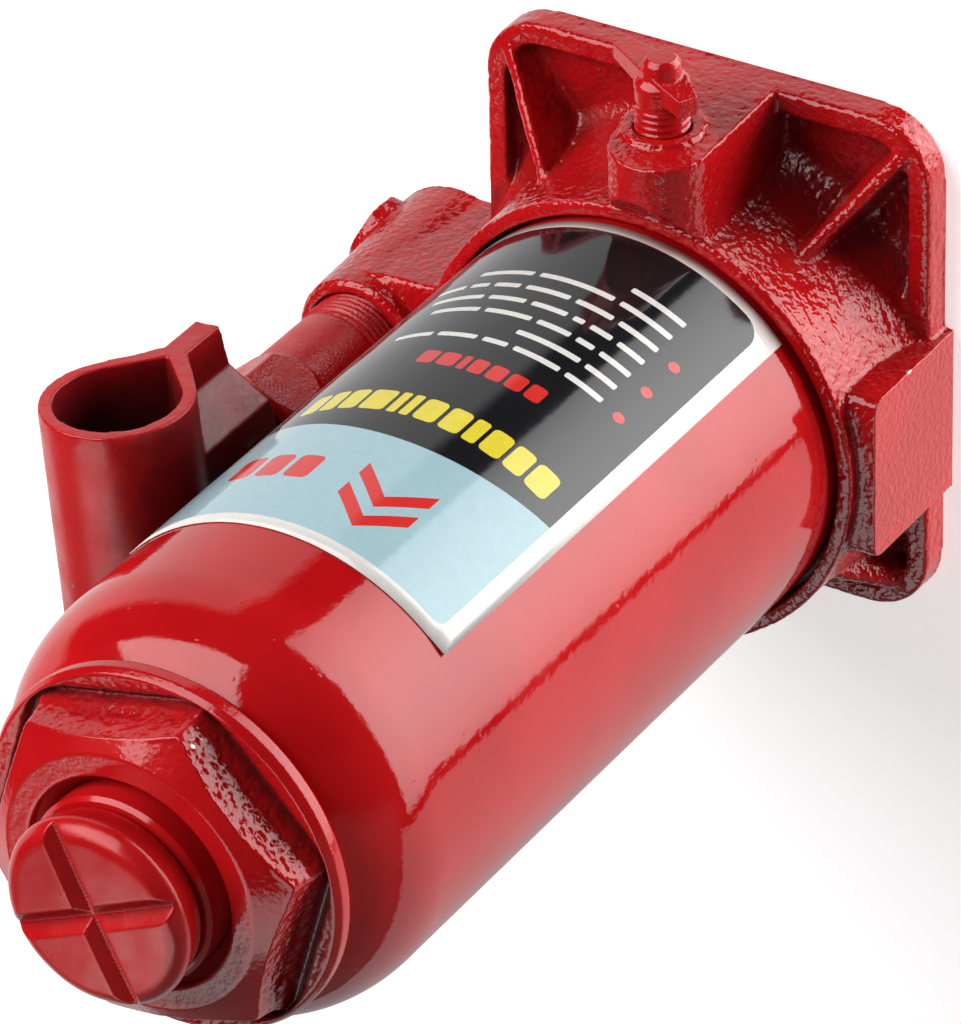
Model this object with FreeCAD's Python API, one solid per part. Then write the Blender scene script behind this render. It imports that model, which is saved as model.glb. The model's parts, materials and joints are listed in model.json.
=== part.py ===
"""Hydraulic bottle jack: base casting, tank, lifting cylinder and ram, hand pump with its linkage, and valves.

Millimetres. The origin is on the ram's axis at the underside of the base, and +Z points up along the ram. The
release valve points to -Y and the pump stands on the +X side. The jack is stored with the ram down, the extension
screw home and the pump plunger at the bottom of its stroke.
"""
import FreeCAD, Part
import math
import os

from FreeCAD import Placement, Rotation, Vector

# Fits
RUN = 0.05           # radial clearance of a running fit
SEAT = 0.05          # clearance of a part that drops into its seat
LIP = 0.15           # clearance of a cup seal or wiper to the wall it faces
GASKET = 1.5         # thickness of the flat gaskets

# Radii, from the extension screw outward
SCREW_R = 14.0
RAM_WALL = 6.1
RAM_R = SCREW_R + RAM_WALL
RAM_OIL_GAP = 3.9    # from the ram to the cylinder's bore
CYL_BORE_R = RAM_R + RAM_OIL_GAP
CYL_WALL = 5.0
CYL_R = CYL_BORE_R + CYL_WALL
OIL_GAP = 14.65      # from the cylinder to the tank
TANK_IN_R = CYL_R + OIL_GAP
TANK_WALL = 2.5
TANK_R = TANK_IN_R + TANK_WALL
TANK_GROOVE_PLAY = 1.0
COLLAR_WALL = 3.35
COLLAR_R = TANK_R + TANK_GROOVE_PLAY + COLLAR_WALL
FLARE_REACH = 7.5
FLARE_R = COLLAR_R + FLARE_REACH

# Heights, from the saddle downward
SADDLE_TOP_Z = 233.0
SADDLE_HEIGHT = 9.9
SADDLE_GAP = 0.6     # between the saddle's underside and the ram's end
RAM_TOP_Z = SADDLE_TOP_Z - SADDLE_HEIGHT - SADDLE_GAP
RAM_PROUD = 3.1      # the ram's end above the nut
NUT_TOP_Z = RAM_TOP_Z - RAM_PROUD
NUT_HEX_HEIGHT = 10.8
NUT_FLANGE_HEIGHT = 5.2
NUT_FLANGE_TOP_Z = NUT_TOP_Z - NUT_HEX_HEIGHT
SHOULDER_END_Z = NUT_FLANGE_TOP_Z - NUT_FLANGE_HEIGHT
SHOULDER_HEIGHT = 21.4
SHOULDER_START_Z = SHOULDER_END_Z - SHOULDER_HEIGHT
CYL_TOP_DEPTH = 8.4  # the cylinder's end below the nut's top
CYL_TOP_Z = NUT_TOP_Z - CYL_TOP_DEPTH

# Foot plate
PLATE_SIDE = 1.5     # from the collar to the plate's long edges
PLATE_NOSE = 17.5    # from the collar to the front edge
PLATE_TUCK = 2.7     # how far the collar reaches past the rear edge
PLATE_X = 2 * (COLLAR_R + PLATE_SIDE)
PLATE_FRONT = COLLAR_R + PLATE_NOSE
PLATE_REAR = COLLAR_R - PLATE_TUCK
PLATE_RIM_Z = 7.4
PLATE_FLOOR_Z = 3.4  # floor of the pockets inside the rim
PLATE_RIM = 5.2
PLATE_CORNER_R = 14.0
PLATE_EDGE_R = 1.6
RIB_THICK = 3.0
RIB_TOP_Z = 21.0     # height of a corner rib where it meets the collar
RIB_ROOT = 4.0       # how deep a rib's end is sunk in the collar
RIB_REACH = 0.38     # share of the corner's radius that a rib's end stays in from the side

# Collar that takes the tank
COLLAR_TOP_Z = 36.4
COLLAR_WAIST_Z = 25.0
COLLAR_EDGE_R = 1.2
CROWN_REACH = 2.2    # how far the valve boss's crown reaches in over the collar
TANK_SEAT_Z = 28.0
CYLINDER_SEAT_Z = 14.0

# Tank, label and filler
SHOULDER_FULLNESS = 1.12  # height of the shoulder's full quarter ellipse over the height that is used
LABEL_START = -139.5
LABEL_END = -40.5
LABEL_FOOT_GAP = 0.6      # from the collar up to the label
LABEL_TOP_GAP = 18.0      # from the label up to the shoulder
LABEL_THICK = 0.2
LABEL_GLUE = 0.1
FILLER_AZIMUTH = 100.0
FILLER_DROP = 28.0        # from the shoulder's foot down to the filler hole
FILLER_HOLE_R = 5.0
FILLER_HEAD = 2.6         # overhang and height of the filler plug's head

# Ram and piston
PISTON_HEAD_Z = (30.0, 46.0)
PISTON_STUD_R = 9.0
STOP_RING_HEIGHT = 15.0
CUP_HEIGHT = 7.5
CUP_WEB = 3.0
RETAINER_HEIGHT = 4.5
RETAINER_R = 17.0
RAM_STROKE = CYL_TOP_Z - PISTON_HEAD_Z[1] - STOP_RING_HEIGHT

# Extension screw and saddle
SCREW_RELIEF = 1.2
SCREW_NECK = 5.0          # plain neck inside the ram's mouth
SCREW_TRAVEL = 80.0
SCREW_ENGAGED = 16.0      # thread still in the ram when the screw is all the way out
SADDLE_R = RAM_R
SADDLE_EDGE_R = 4.0
SADDLE_FOOT_INSET = 1.5
GROOVE_WIDTH = 5.3
GROOVE_DEPTH = 2.4
GROOVE_ANGLE = 25.0

# Tank nut
NUT_SPIGOT_WALL = 4.0
NUT_SPIGOT_R = CYL_R + NUT_SPIGOT_WALL
NUT_SPIGOT_DROP = 5.5
NUT_LAND = 4.6            # width of the tank's land under the nut
SHOULDER_END_R = NUT_SPIGOT_R + NUT_LAND
NUT_FLANGE_LAP = 1.7      # how far the flange reaches past the land
NUT_FLANGE_R = SHOULDER_END_R + NUT_FLANGE_LAP
NUT_HEX_WALL = 1.5        # thinnest wall between the cylinder and a flat
NUT_FLATS = 2 * (CYL_R + NUT_HEX_WALL)
NUT_BORE_GAP = 2.6        # from the ram to the nut's bore
NUT_BORE_R = RAM_R + NUT_BORE_GAP
NUT_FACE = 4.9            # width of the flat end face round the bore
NUT_CHAMFER_R = NUT_BORE_R + NUT_FACE
NUT_CHAMFER_ANGLE = 30.0
NUT_HEX_TURN = 13.5
NUT_CORNER_R = 2.0
NUT_COVE_R = 2.2
NUT_SEAL_R = 0.7
WIPER_DEPTH = 2.2         # from the nut's top down to the wiper
WIPER_HEIGHT = 4.0
WIPER_GROOVE = 1.6

# Handle socket and linkage, in the pump's own frame
BARREL_TOP_Z = 80.0
PIN_RISE = 13.0           # from the barrel's top to the plunger pin
PIN_Z = BARREL_TOP_Z + PIN_RISE
PIN_R = 4.0
SOCKET_R = 15.8
SHEET = 3.0
SOCKET_RISE = 29.4        # from the plunger pin to the socket's axis
SOCKET_Z = PIN_Z + SOCKET_RISE
SOCKET_MOUTH = -30.8
SOCKET_LENGTH = 71.0
CUSP_DROP = 20.8          # from the socket's axis to where the sheet's two ends meet
EAR_GAP = 16.0
JOGGLE = (-20.0, -12.5)   # where the pinched sheet spreads to the ears
NECK_END = -8.0           # where the drop-shaped neck stops
LEVER_ARM = 22.0
LEVER_START = 26.0        # the plunger pin starts this many degrees below the link pin
LEVER_SWING = 45.0
PIVOT_PLAY = 1.15         # extra radius of the socket's hole round the upper link pin
EYE_R = 6.8
LUG_R = 8.5
EYE_SIDE_PLAY = 0.3
LINK_FOOT_Z = 28.0
LINK_WAIST = 9.0
LINK_INSET = 2.0          # how much thinner the link's strap is than its eyes, each side
HORN_DROP = 3.0           # from the plunger pin down to the horn's tip
CLEVIS_CHEEK = 5.5
CLEVIS_FRONT = 4.0
CLEVIS_PLAY = 1.5
CLIP = 1.0
CLIP_R = 7.4
CLIP_GROOVE = 0.5
CLIP_INSET = 1.2          # from a pin's end to its clip
CLEVIS_HOLE = 16.0        # how far the lower pin's blind hole reaches inward of the link

# Pump
SOCKET_GAP = 2.05         # from the tank to the handle socket
PUMP_X = TANK_R + SOCKET_GAP + SOCKET_R
PUMP_Y = -2.3
LINKAGE_YAW = 4.0         # the handle socket points this far outward of straight ahead
PLUNGER_R = 6.0
BARREL_WALL = 5.2         # from the plunger to the barrel's thread
BARREL_THREAD_R = PLUNGER_R + BARREL_WALL
BARREL_THREAD_STEP = 0.4  # how far the round body stays under the thread
BARREL_R = BARREL_THREAD_R - BARREL_THREAD_STEP
BARREL_HEX_STEP = 0.2     # how far a flat stands out of the round body
BARREL_FLATS = 2 * (BARREL_R + BARREL_HEX_STEP)
BOSS_WALL = 3.05
BOSS_R = BARREL_THREAD_R + BOSS_WALL
BOSS_DRAFT = 2.15         # how much wider the boss is at its foot
BOSS_TOP_Z = 40.5
WEB_ROOT = 14.0           # how deep the web between boss and collar is sunk in the collar
WEB_OVERHANG = 0.6
WEB_EDGE_R = 1.5
BARREL_THREAD_DEPTH = 0.75
BARREL_SEAT_Z = 19.5
BARREL_THREAD_OUT = 7.5   # thread that shows above the boss
BARREL_THREAD_TOP_Z = BOSS_TOP_Z + BARREL_THREAD_OUT
BARREL_HEX_HEIGHT = 14.4
BARREL_HEX_TURN = 31.5
BARREL_RUN_OUT = 3.2      # height of the cone from the round body out to the hexagon's corners
BARREL_PITCH = 1.5
BARREL_WASHER = 1.5
PLUNGER_RISE = 7.5        # from the barrel's seat up to the plunger's foot
CUP_SEAT = 3.0            # height of the plunger's cup
CUP_RIM = 1.6
PUMP_CHAMBER_R = 3.0
WASHER_INSET = 0.9        # how far the barrel's washer stays inside the thread
WASHER_BORE = 0.6         # how far its hole clears the plunger
PASSAGE_Z = 9.0
GLAND_DEPTH = 4.0
GLAND_WALL = 2.6          # from the plunger to the gland's outside
GLAND_R = PLUNGER_R + GLAND_WALL

# Release valve, with depths measured back from the plate's front edge
VALVE_X = -3.5
VALVE_Z = 29.0
VALVE_BOSS_X = -5.9
VALVE_BOSS_R = 10.9
VALVE_BOSS_Z = 33.6
VALVE_BOSS_ROOT = 8.0
VALVE_FACE_DRAFT = 2.0    # how far the boss's face leans back at its crown
VALVE_THREAD_R = 5.8
VALVE_THREAD_DEPTH = 0.8
VALVE_STEM_R = 4.5
VALVE_BALL_R = 3.0
VALVE_PITCH = 1.5
VALVE_REACH = 8.0         # from the front edge out to the head
VALVE_HEAD = 7.0
VALVE_WING_SPAN = 20.5
VALVE_WING_THICK = 5.6
VALVE_WING_ANGLE = 156.0
VALVE_HUB_R = 5.0
VALVE_SPOT_R = 7.4
VALVE_SPOT_DEPTH = 1.6
VALVE_THREAD_END = 8.5
VALVE_STEM_END = 12.8
VALVE_SEAT_DEPTH = 18.0
VALVE_DROP_DEPTH = 18.8
ORING = 1.8

# Side pad, plug boss and valves in the base
PAD_REACH = 3.5           # from the collar out to the pad's face
PAD_ROOT = 10.0
PAD_Y = (-19.5, 18.0)
PAD_TOP_Z = 33.0
PAD_CORNER_R = 3.0
PLUG_ANGLE = -24.0
PLUG_BOSS_R = 8.2
PLUG_BOSS_REACH = 17.5
PLUG_R = 5.0
PLUG_LENGTH = 7.0
PLUG_KEY = 4.6            # width of the plug's hexagon socket
PLUG_KEY_DEPTH = 3.2
CHECK_BALL_R = 2.8
CHECK_BORE_R = 3.3
SCREEN_THICK = 0.8
SCREEN_CLEAR = 0.785      # from the oil screen to the tank's gasket
SCREEN_HOLE_R = 0.35
GASKET_REACH = 1.5        # how far the tank's gasket reaches in past its wall
SMALL_BALL_R = 2.0
SMALL_PLUG_R = 3.6
SMALL_PLUG_Z = (0.4, 2.8)
SMALL_SLOT = 0.8          # width and depth of a small plug's slot
SMALL_SEAT_Z = 9.0
DISCHARGE_AT = (31.0, -14.0)
DISCHARGE_FEED_Z = 13.0
OVERLOAD_AT = (-30.0, 12.0)
DRILL_R = 1.2
WIRE_R = 0.4
SPRING_TURNS = 4
SPRING_REST = 0.9         # share of a ball's radius at which its spring ends

Z = Vector(0, 0, 1)


def rod(radius, low, high, x=0.0, y=0.0):
    """Upright cylinder between two heights."""
    return Part.makeCylinder(radius, high - low, Vector(x, y, low), Z)


def ring(outer, inner, low, high, x=0.0, y=0.0):
    """Upright tube between two heights."""
    return rod(outer, low, high, x, y).cut(rod(inner, low - 1, high + 1, x, y))


def face(points):
    """Plane face with straight edges through 3D points."""
    vectors = [Vector(*p) for p in points]
    return Part.Face(Part.makePolygon(vectors + vectors[:1]))


def straight(points):
    """Straight edges through (radius, height) points."""
    return Part.makePolygon([Vector(r, 0, z) for r, z in points]).Edges


def curved(points):
    """One smooth edge through (radius, height) points."""
    curve = Part.BSplineCurve()
    curve.interpolate([Vector(r, 0, z) for r, z in points])
    return [curve.toShape()]


def spun(edges):
    """Solid of revolution about the ram's axis from a closed run of edges."""
    return Part.Face(Part.Wire(edges)).revolve(Vector(0, 0, 0), Z, 360)


def turned(profile):
    """Solid of revolution about the ram's axis from (radius, height) points."""
    return spun(straight(profile + profile[:1]))


def box(low, high):
    """Box between two corners."""
    size = [b - a for a, b in zip(low, high)]
    return Part.makeBox(*size, Vector(*low))


def hexagon(flats, low, high, turn=0.0):
    """Upright hexagonal prism about the ram's axis."""
    corner = flats / math.sqrt(3)
    angles = [math.radians(turn + 60 * k) for k in range(6)]
    outline = face([(corner * math.cos(a), corner * math.sin(a), low) for a in angles])
    return outline.extrude(Vector(0, 0, high - low))


def coil(radius, low, high, turns):
    """Round-wire spring along the ram's axis."""
    pitch = (high - low - 2 * WIRE_R) / turns
    path = Part.makeHelix(pitch, high - low - 2 * WIRE_R, radius)
    wire = Part.Wire(Part.makeCircle(WIRE_R, Vector(radius, 0, 0), Vector(0, 1, 0)))
    spring = Part.Wire(path).makePipeShell([wire], True, True)
    spring.translate(Vector(0, 0, low + WIRE_R))
    return spring


def fused(first, *others):
    """Union without leftover seams."""
    return first.fuse(list(others)).removeSplitter()


def at_pump(shape):
    """Moves a shape from the pump's frame to its place on the jack."""
    moved = shape.copy()
    place = Placement(Vector(PUMP_X, PUMP_Y, 0), Rotation(Z, LINKAGE_YAW))
    moved.Placement = place.multiply(moved.Placement)
    return moved


def at_valve(shape):
    """Lays a shape built along +Z down on the release valve's axis, so that its +Z points to -Y."""
    laid = shape.copy()
    place = Placement(Vector(VALVE_X, 0, VALVE_Z), Rotation(Vector(1, 0, 0), 90))
    laid.Placement = place.multiply(laid.Placement)
    return laid


def cross_pin(radius, half_length, back, height):
    """Pin across the linkage, in the pump's frame."""
    return Part.makeCylinder(radius, 2 * half_length, Vector(-half_length, back, height), Vector(1, 0, 0))


def side_plate(points, low, high):
    """Extrudes an outline of (back, height) points across the linkage between two sideways places."""
    return face([(low, back, height) for back, height in points]).extrude(Vector(high - low, 0, 0))


# Places worked out from the driving sizes
LINK_BACK = LEVER_ARM * math.cos(math.radians(LEVER_START))
LINK_Z = PIN_Z + LEVER_ARM * math.sin(math.radians(LEVER_START))
LEVER_END = LEVER_SWING - LEVER_START
LINK_SAG = LEVER_ARM * (1 - math.cos(math.radians(LEVER_SWING / 2)))
PUMP_STROKE = LINK_Z - PIN_Z + LEVER_ARM * math.sin(math.radians(LEVER_END))
EYE_HALF = EAR_GAP / 2 - EYE_SIDE_PLAY
EAR_OUT = EAR_GAP / 2 + SHEET
PIN_HALF = EAR_OUT + EYE_SIDE_PLAY + CLIP + CLIP_INSET
LINK_EYES = ((LINK_BACK, LINK_Z), (LINK_BACK, LINK_FOOT_Z))
CLEVIS_OUT = EAR_GAP / 2 + CLEVIS_CHEEK
CLEVIS_PIN_HALF = CLEVIS_OUT + EYE_SIDE_PLAY + CLIP + CLIP_INSET
SOCKET_REAR = SOCKET_MOUTH + SOCKET_LENGTH
TANK_FOOT_Z = TANK_SEAT_Z + GASKET
CYL_FOOT_Z = CYLINDER_SEAT_Z + GASKET
SCREW_FOOT_Z = RAM_TOP_Z - SCREW_TRAVEL - SCREW_ENGAGED
FILLER_Z = SHOULDER_START_Z - FILLER_DROP
PLUNGER_FOOT_Z = BARREL_SEAT_Z + PLUNGER_RISE
PAD_X = -COLLAR_R - PAD_REACH
VALVE_HEAD_Y = (-PLATE_FRONT - VALVE_REACH - VALVE_HEAD, -PLATE_FRONT - VALVE_REACH)
VALVE_SPOT_Y = -PLATE_FRONT + VALVE_SPOT_DEPTH
VALVE_THREAD_END_Y = -PLATE_FRONT + VALVE_THREAD_END
VALVE_STEM_END_Y = -PLATE_FRONT + VALVE_STEM_END
VALVE_SEAT_Y = -PLATE_FRONT + VALVE_SEAT_DEPTH
VALVE_DROP_Y = -PLATE_FRONT + VALVE_DROP_DEPTH


def plate_outline(inset, low, high):
    """Foot plate's rounded rectangle, taken in by an inset all round."""
    half = PLATE_X / 2 - inset
    slab = box((-half, -PLATE_FRONT + inset, low), (half, PLATE_REAR - inset, high))
    corners = [e for e in slab.Edges if abs(e.BoundBox.ZLength - (high - low)) < 1e-6]
    return slab.makeFillet(PLATE_CORNER_R - inset, corners)


def corner_rib(x_sign, y_edge):
    """Radial rib from a corner of the rim up to the collar."""
    corner = Vector(x_sign * (PLATE_X / 2 - PLATE_CORNER_R * RIB_REACH), y_edge, 0)
    reach = math.hypot(corner.x, corner.y)
    root = COLLAR_R - RIB_ROOT
    profile = face([(root, 0, 1), (root, 0, RIB_TOP_Z), (COLLAR_R, 0, RIB_TOP_Z), (reach, 0, PLATE_RIM_Z),
                    (reach, 0, 1)])
    rib = profile.extrude(Vector(0, RIB_THICK, 0))
    rib.translate(Vector(0, -RIB_THICK / 2, 0))
    ridge = [e for e in rib.Edges if abs(e.BoundBox.ZLength - (RIB_TOP_Z - PLATE_RIM_Z)) < 1e-6]
    rib = rib.makeFillet(RIB_THICK * 0.4, ridge)
    rib.rotate(Vector(0, 0, 0), Z, math.degrees(math.atan2(corner.y, corner.x)))
    return rib


def collar():
    """Round collar with a flared skirt that stays inside the plate's outline."""
    steps = 8
    flare = []
    for k in range(steps + 1):
        a = math.pi / 2 * k / steps
        flare.append((FLARE_R - FLARE_REACH * math.sin(a),
                      COLLAR_WAIST_Z - (COLLAR_WAIST_Z - PLATE_FLOOR_Z) * math.cos(a)))
    skirt = turned([(0, 0), (FLARE_R, 0)] + flare + [(0, COLLAR_WAIST_Z)])
    core = rod(COLLAR_R, 0, COLLAR_TOP_Z)
    rim = [e for e in core.Edges if e.BoundBox.ZMin > COLLAR_TOP_Z - 1e-6]
    core = core.makeFillet(COLLAR_EDGE_R, rim)
    return fused(core, skirt.common(plate_outline(0, 0, COLLAR_TOP_Z)))


def pump_boss():
    """Drafted boss for the barrel, its web to the collar, the plug boss and the clevis for the link."""
    boss = Part.makeCone(BOSS_R + BOSS_DRAFT, BOSS_R, BOSS_TOP_Z, Vector(0, 0, 0), Z)
    rim = [e for e in boss.Edges if abs(e.BoundBox.ZMin - BOSS_TOP_Z) < 1e-6]
    boss = boss.makeChamfer(1.0, rim)
    web_start = COLLAR_R - WEB_ROOT - PUMP_X
    web = box((web_start, -BOSS_R - WEB_OVERHANG, 0), (0, BOSS_R, COLLAR_TOP_Z))
    ridges = [e for e in web.Edges if e.BoundBox.XLength > -web_start / 2 and e.BoundBox.ZMin > PLATE_RIM_Z]
    web = web.makeFillet(WEB_EDGE_R, ridges)
    half = CLEVIS_OUT
    front, back = CLEVIS_FRONT, LINK_BACK + LUG_R
    cheeks = side_plate([(front, 0), (back, 0), (back, LINK_FOOT_Z), (front, LINK_FOOT_Z)], -half, half)
    cheeks = fused(cheeks, cross_pin(LUG_R, half, LINK_BACK, LINK_FOOT_Z))
    slot_low = LINK_FOOT_Z - EYE_R - CLEVIS_PLAY
    slot_front = LINK_BACK - EYE_R - CLEVIS_PLAY
    slot = box((-EAR_GAP / 2, slot_front, slot_low), (EAR_GAP / 2, back + 1, LINK_Z))
    body = fused(boss, web, cheeks).cut(slot)
    return at_pump(body)


def plug_axis():
    """Direction of the side plug's drilling, away from the pump's axis."""
    a = math.radians(PLUG_ANGLE)
    return Vector(math.cos(a), math.sin(a), 0)


def at_plug(radius, start, end):
    """Cylinder along the side plug's drilling, measured from the pump's axis."""
    axis = plug_axis()
    return Part.makeCylinder(radius, end - start, Vector(PUMP_X, PUMP_Y, PASSAGE_Z) + axis * start, axis)


def valve_boss():
    """Tombstone boss of the release valve, flush with the plate's front edge."""
    back = -COLLAR_R + VALVE_BOSS_ROOT
    half = VALVE_BOSS_R
    foot = box((VALVE_BOSS_X - half, -PLATE_FRONT, 0), (VALVE_BOSS_X + half, back, VALVE_BOSS_Z))
    crown = Part.makeCylinder(half, back + PLATE_FRONT, Vector(VALVE_BOSS_X, -PLATE_FRONT, VALVE_BOSS_Z),
                              Vector(0, 1, 0))
    top = VALVE_BOSS_Z + half
    side = [(-PLATE_FRONT, 0), (-PLATE_FRONT, PLATE_RIM_Z), (-PLATE_FRONT + VALVE_FACE_DRAFT, top + 1),
            (back, top + 1), (back, 0)]
    lean = face([(VALVE_BOSS_X - half - 1, y, z) for y, z in side])
    boss = fused(foot, crown).common(lean.extrude(Vector(2 * half + 2, 0, 0)))
    return boss.cut(rod(COLLAR_R - CROWN_REACH, COLLAR_TOP_Z - 0.01, top + 1))


def side_pad():
    """Machined pad on the side away from the pump."""
    pad = box((PAD_X, PAD_Y[0], 0), (-COLLAR_R + PAD_ROOT, PAD_Y[1], PAD_TOP_Z))
    corners = [e for e in pad.Edges if e.BoundBox.XLength > 1 and e.BoundBox.ZMin > PAD_TOP_Z / 2]
    return pad.makeFillet(PAD_CORNER_R, corners)


def base():
    """Base casting with its bores, passages and valve pockets."""
    plate = plate_outline(0, 0, PLATE_RIM_Z)
    top = [e for e in plate.Edges if e.BoundBox.ZMin > PLATE_RIM_Z - 1e-6]
    plate = plate.makeFillet(PLATE_EDGE_R, top)
    plate = plate.cut(plate_outline(PLATE_RIM, PLATE_FLOOR_Z, PLATE_RIM_Z + 1))
    front, rear = -PLATE_FRONT + PLATE_RIM + 1, PLATE_REAR - PLATE_RIM - 1
    ribs = [corner_rib(sx, y) for sx in (-1, 1) for y in (front, rear)]
    plug_boss = at_plug(PLUG_BOSS_R, 0, PLUG_BOSS_REACH)
    body = fused(plate, collar(), *ribs, pump_boss(), plug_boss, valve_boss(), side_pad())
    span = 2 * PLATE_X
    body = body.common(box((-span, -span, 0), (span, span, span)))
    cuts = [
        ring(TANK_R + TANK_GROOVE_PLAY, CYL_R, TANK_SEAT_Z, COLLAR_TOP_Z + 1),
        rod(CYL_R + SEAT, CYLINDER_SEAT_Z, COLLAR_TOP_Z + 1),
        rod(BARREL_THREAD_R + SEAT, BARREL_SEAT_Z, BOSS_TOP_Z + 1, PUMP_X, PUMP_Y),
        rod(PUMP_CHAMBER_R, PASSAGE_Z, BARREL_SEAT_Z + 1, PUMP_X, PUMP_Y),
        at_pump(Part.makeCylinder(PIN_R + SEAT, CLEVIS_HOLE + CLEVIS_OUT + 1,
                                  Vector(-CLEVIS_HOLE, LINK_BACK, LINK_FOOT_Z), Vector(1, 0, 0))),
    ]
    cuts += suction_passage() + release_passage() + discharge_passage() + overload_passage()
    return body.cut(cuts).removeSplitter()


def drilling(radius, start, end):
    """Straight hole between two places."""
    path = Vector(*end) - Vector(*start)
    return Part.makeCylinder(radius, path.Length, Vector(*start), path)


def seated(ball_r, hole_r):
    """How far a ball's centre stays from the plane of the hole it closes."""
    return math.sqrt((ball_r + SEAT) ** 2 - hole_r ** 2)


def suction_riser():
    """How far back along the side plug's drilling the hole down from the tank's floor stands."""
    axis = plug_axis()
    pump = Vector(PUMP_X, PUMP_Y, 0)
    along = axis.dot(pump)
    offset = (pump - axis * along).Length
    return along - math.sqrt(((CYL_R + TANK_IN_R) / 2) ** 2 - offset ** 2)


RISER_BACK = suction_riser()
RISER = Vector(PUMP_X, PUMP_Y, 0) - plug_axis() * RISER_BACK
SUCTION_HOLE_R = CHECK_BALL_R * 0.6
SUCTION_SEAT = -PUMP_CHAMBER_R - 2 * CHECK_BALL_R - 0.6


def suction_passage():
    """Drilling from the side plug past the pump chamber to the riser, with the ball's seat."""
    return [
        at_plug(PLUG_R + SEAT, PLUG_BOSS_REACH - PLUG_LENGTH, PLUG_BOSS_REACH + 1),
        at_plug(CHECK_BORE_R, SUCTION_SEAT, PLUG_BOSS_REACH - PLUG_LENGTH),
        at_plug(SUCTION_HOLE_R, -RISER_BACK, 0),
        rod(SUCTION_HOLE_R, PASSAGE_Z, TANK_SEAT_Z + 1, RISER.x, RISER.y),
    ]


def release_passage():
    """Stepped bore of the release valve, its drop and the way to the cylinder's floor."""
    def bore(radius, front, back):
        return drilling(radius, (VALVE_X, front, VALVE_Z), (VALVE_X, back, VALVE_Z))
    return [
        bore(VALVE_SPOT_R, -PLATE_FRONT - 1, VALVE_SPOT_Y),
        bore(VALVE_THREAD_R + SEAT, -PLATE_FRONT, VALVE_THREAD_END_Y),
        bore(VALVE_STEM_R + SEAT, VALVE_THREAD_END_Y - 1, VALVE_STEM_END_Y),
        bore(VALVE_BALL_R + SEAT, VALVE_STEM_END_Y - 1, VALVE_SEAT_Y),
        bore(VALVE_BALL_R * 0.5, VALVE_SEAT_Y - 1, VALVE_DROP_Y),
        rod(DRILL_R, PASSAGE_Z, VALVE_Z, VALVE_X, VALVE_DROP_Y),
        drilling(DRILL_R, (VALVE_X, VALVE_DROP_Y, PASSAGE_Z), (VALVE_X, -CYL_BORE_R / 2, PASSAGE_Z)),
        rod(DRILL_R, PASSAGE_Z, CYLINDER_SEAT_Z + 1, VALVE_X, -CYL_BORE_R / 2),
    ]


def small_pocket(x, y):
    """Pocket of a ball valve that is closed from below."""
    return [rod(SMALL_PLUG_R + SEAT, -1, SMALL_PLUG_Z[1], x, y),
            rod(SMALL_BALL_R + 0.3, SMALL_PLUG_Z[0], SMALL_SEAT_Z, x, y),
            rod(DRILL_R, SMALL_SEAT_Z - 1, DISCHARGE_FEED_Z, x, y)]


def discharge_passage():
    """Check valve between the pump chamber and the cylinder's floor."""
    x, y = DISCHARGE_AT
    feed = drilling(DRILL_R, (x, y, DISCHARGE_FEED_Z), (PUMP_X, PUMP_Y, DISCHARGE_FEED_Z))
    outlet = drilling(DRILL_R, (x, y, SMALL_SEAT_Z / 2), (x * 0.45, y * 0.45, CYLINDER_SEAT_Z + 1))
    return small_pocket(x, y) + [feed, outlet]


def overload_passage():
    """Relief valve between the cylinder's floor and the tank."""
    x, y = OVERLOAD_AT
    inlet = drilling(DRILL_R, (x, y, DISCHARGE_FEED_Z - 3), (x * 0.4, y * 0.4, CYLINDER_SEAT_Z + 1))
    outlet = drilling(DRILL_R, (x, y, SMALL_SEAT_Z / 2), (x * 1.15, y * 1.15, TANK_SEAT_Z + 1))
    return small_pocket(x, y) + [inlet, outlet]


def shoulder(radius, height):
    """Points of the tank's rounded shoulder, part of a quarter ellipse that starts upright at a radius."""
    depth = (TANK_R - SHOULDER_END_R) / (1 - math.sqrt(1 - 1 / SHOULDER_FULLNESS ** 2))
    points = []
    steps = 10
    for k in range(steps + 1):
        share = k / steps
        inward = depth * (1 - math.sqrt(1 - (share / SHOULDER_FULLNESS) ** 2))
        points.append((radius - inward, SHOULDER_START_Z + height * share))
    return points


def reservoir_tube():
    """Drawn tank with its rounded shoulder, the land under the nut and the filler hole."""
    mouth = NUT_SPIGOT_R + SEAT * 4
    outer = shoulder(TANK_R, SHOULDER_HEIGHT)
    inner = shoulder(TANK_IN_R, SHOULDER_HEIGHT - TANK_WALL)
    wall = straight([inner[0], (TANK_IN_R, TANK_FOOT_Z), (TANK_R, TANK_FOOT_Z), outer[0]])
    land = straight([outer[-1], (mouth, SHOULDER_END_Z), (mouth, SHOULDER_END_Z - TANK_WALL), inner[-1]])
    tube = spun(wall + curved(outer) + land + curved(inner[::-1]))
    out = filler_direction()
    start = out * (TANK_R - 2 * TANK_WALL) + Z * FILLER_Z
    hole = Part.makeCylinder(FILLER_HOLE_R, 4 * TANK_WALL, start, out)
    return tube.cut(hole)


def filler_direction():
    """Level direction from the ram's axis to the filler hole."""
    a = math.radians(FILLER_AZIMUTH)
    return Vector(math.cos(a), math.sin(a), 0)


def filler_plug():
    """Rubber plug in the tank's hidden side."""
    neck, head, stem = FILLER_HOLE_R, FILLER_HOLE_R + FILLER_HEAD, TANK_WALL + 4
    plug = turned([(0, -stem), (neck - 0.8, -stem), (neck + 0.7, -TANK_WALL - 1.2),
                   (neck, -TANK_WALL - 0.4), (neck, 0.6), (head, 0.6), (head - 0.8, FILLER_HEAD),
                   (0, FILLER_HEAD)])
    out = filler_direction()
    plug.Placement = Placement(out * TANK_R + Z * FILLER_Z, Rotation(Z, out))
    return plug


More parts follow.
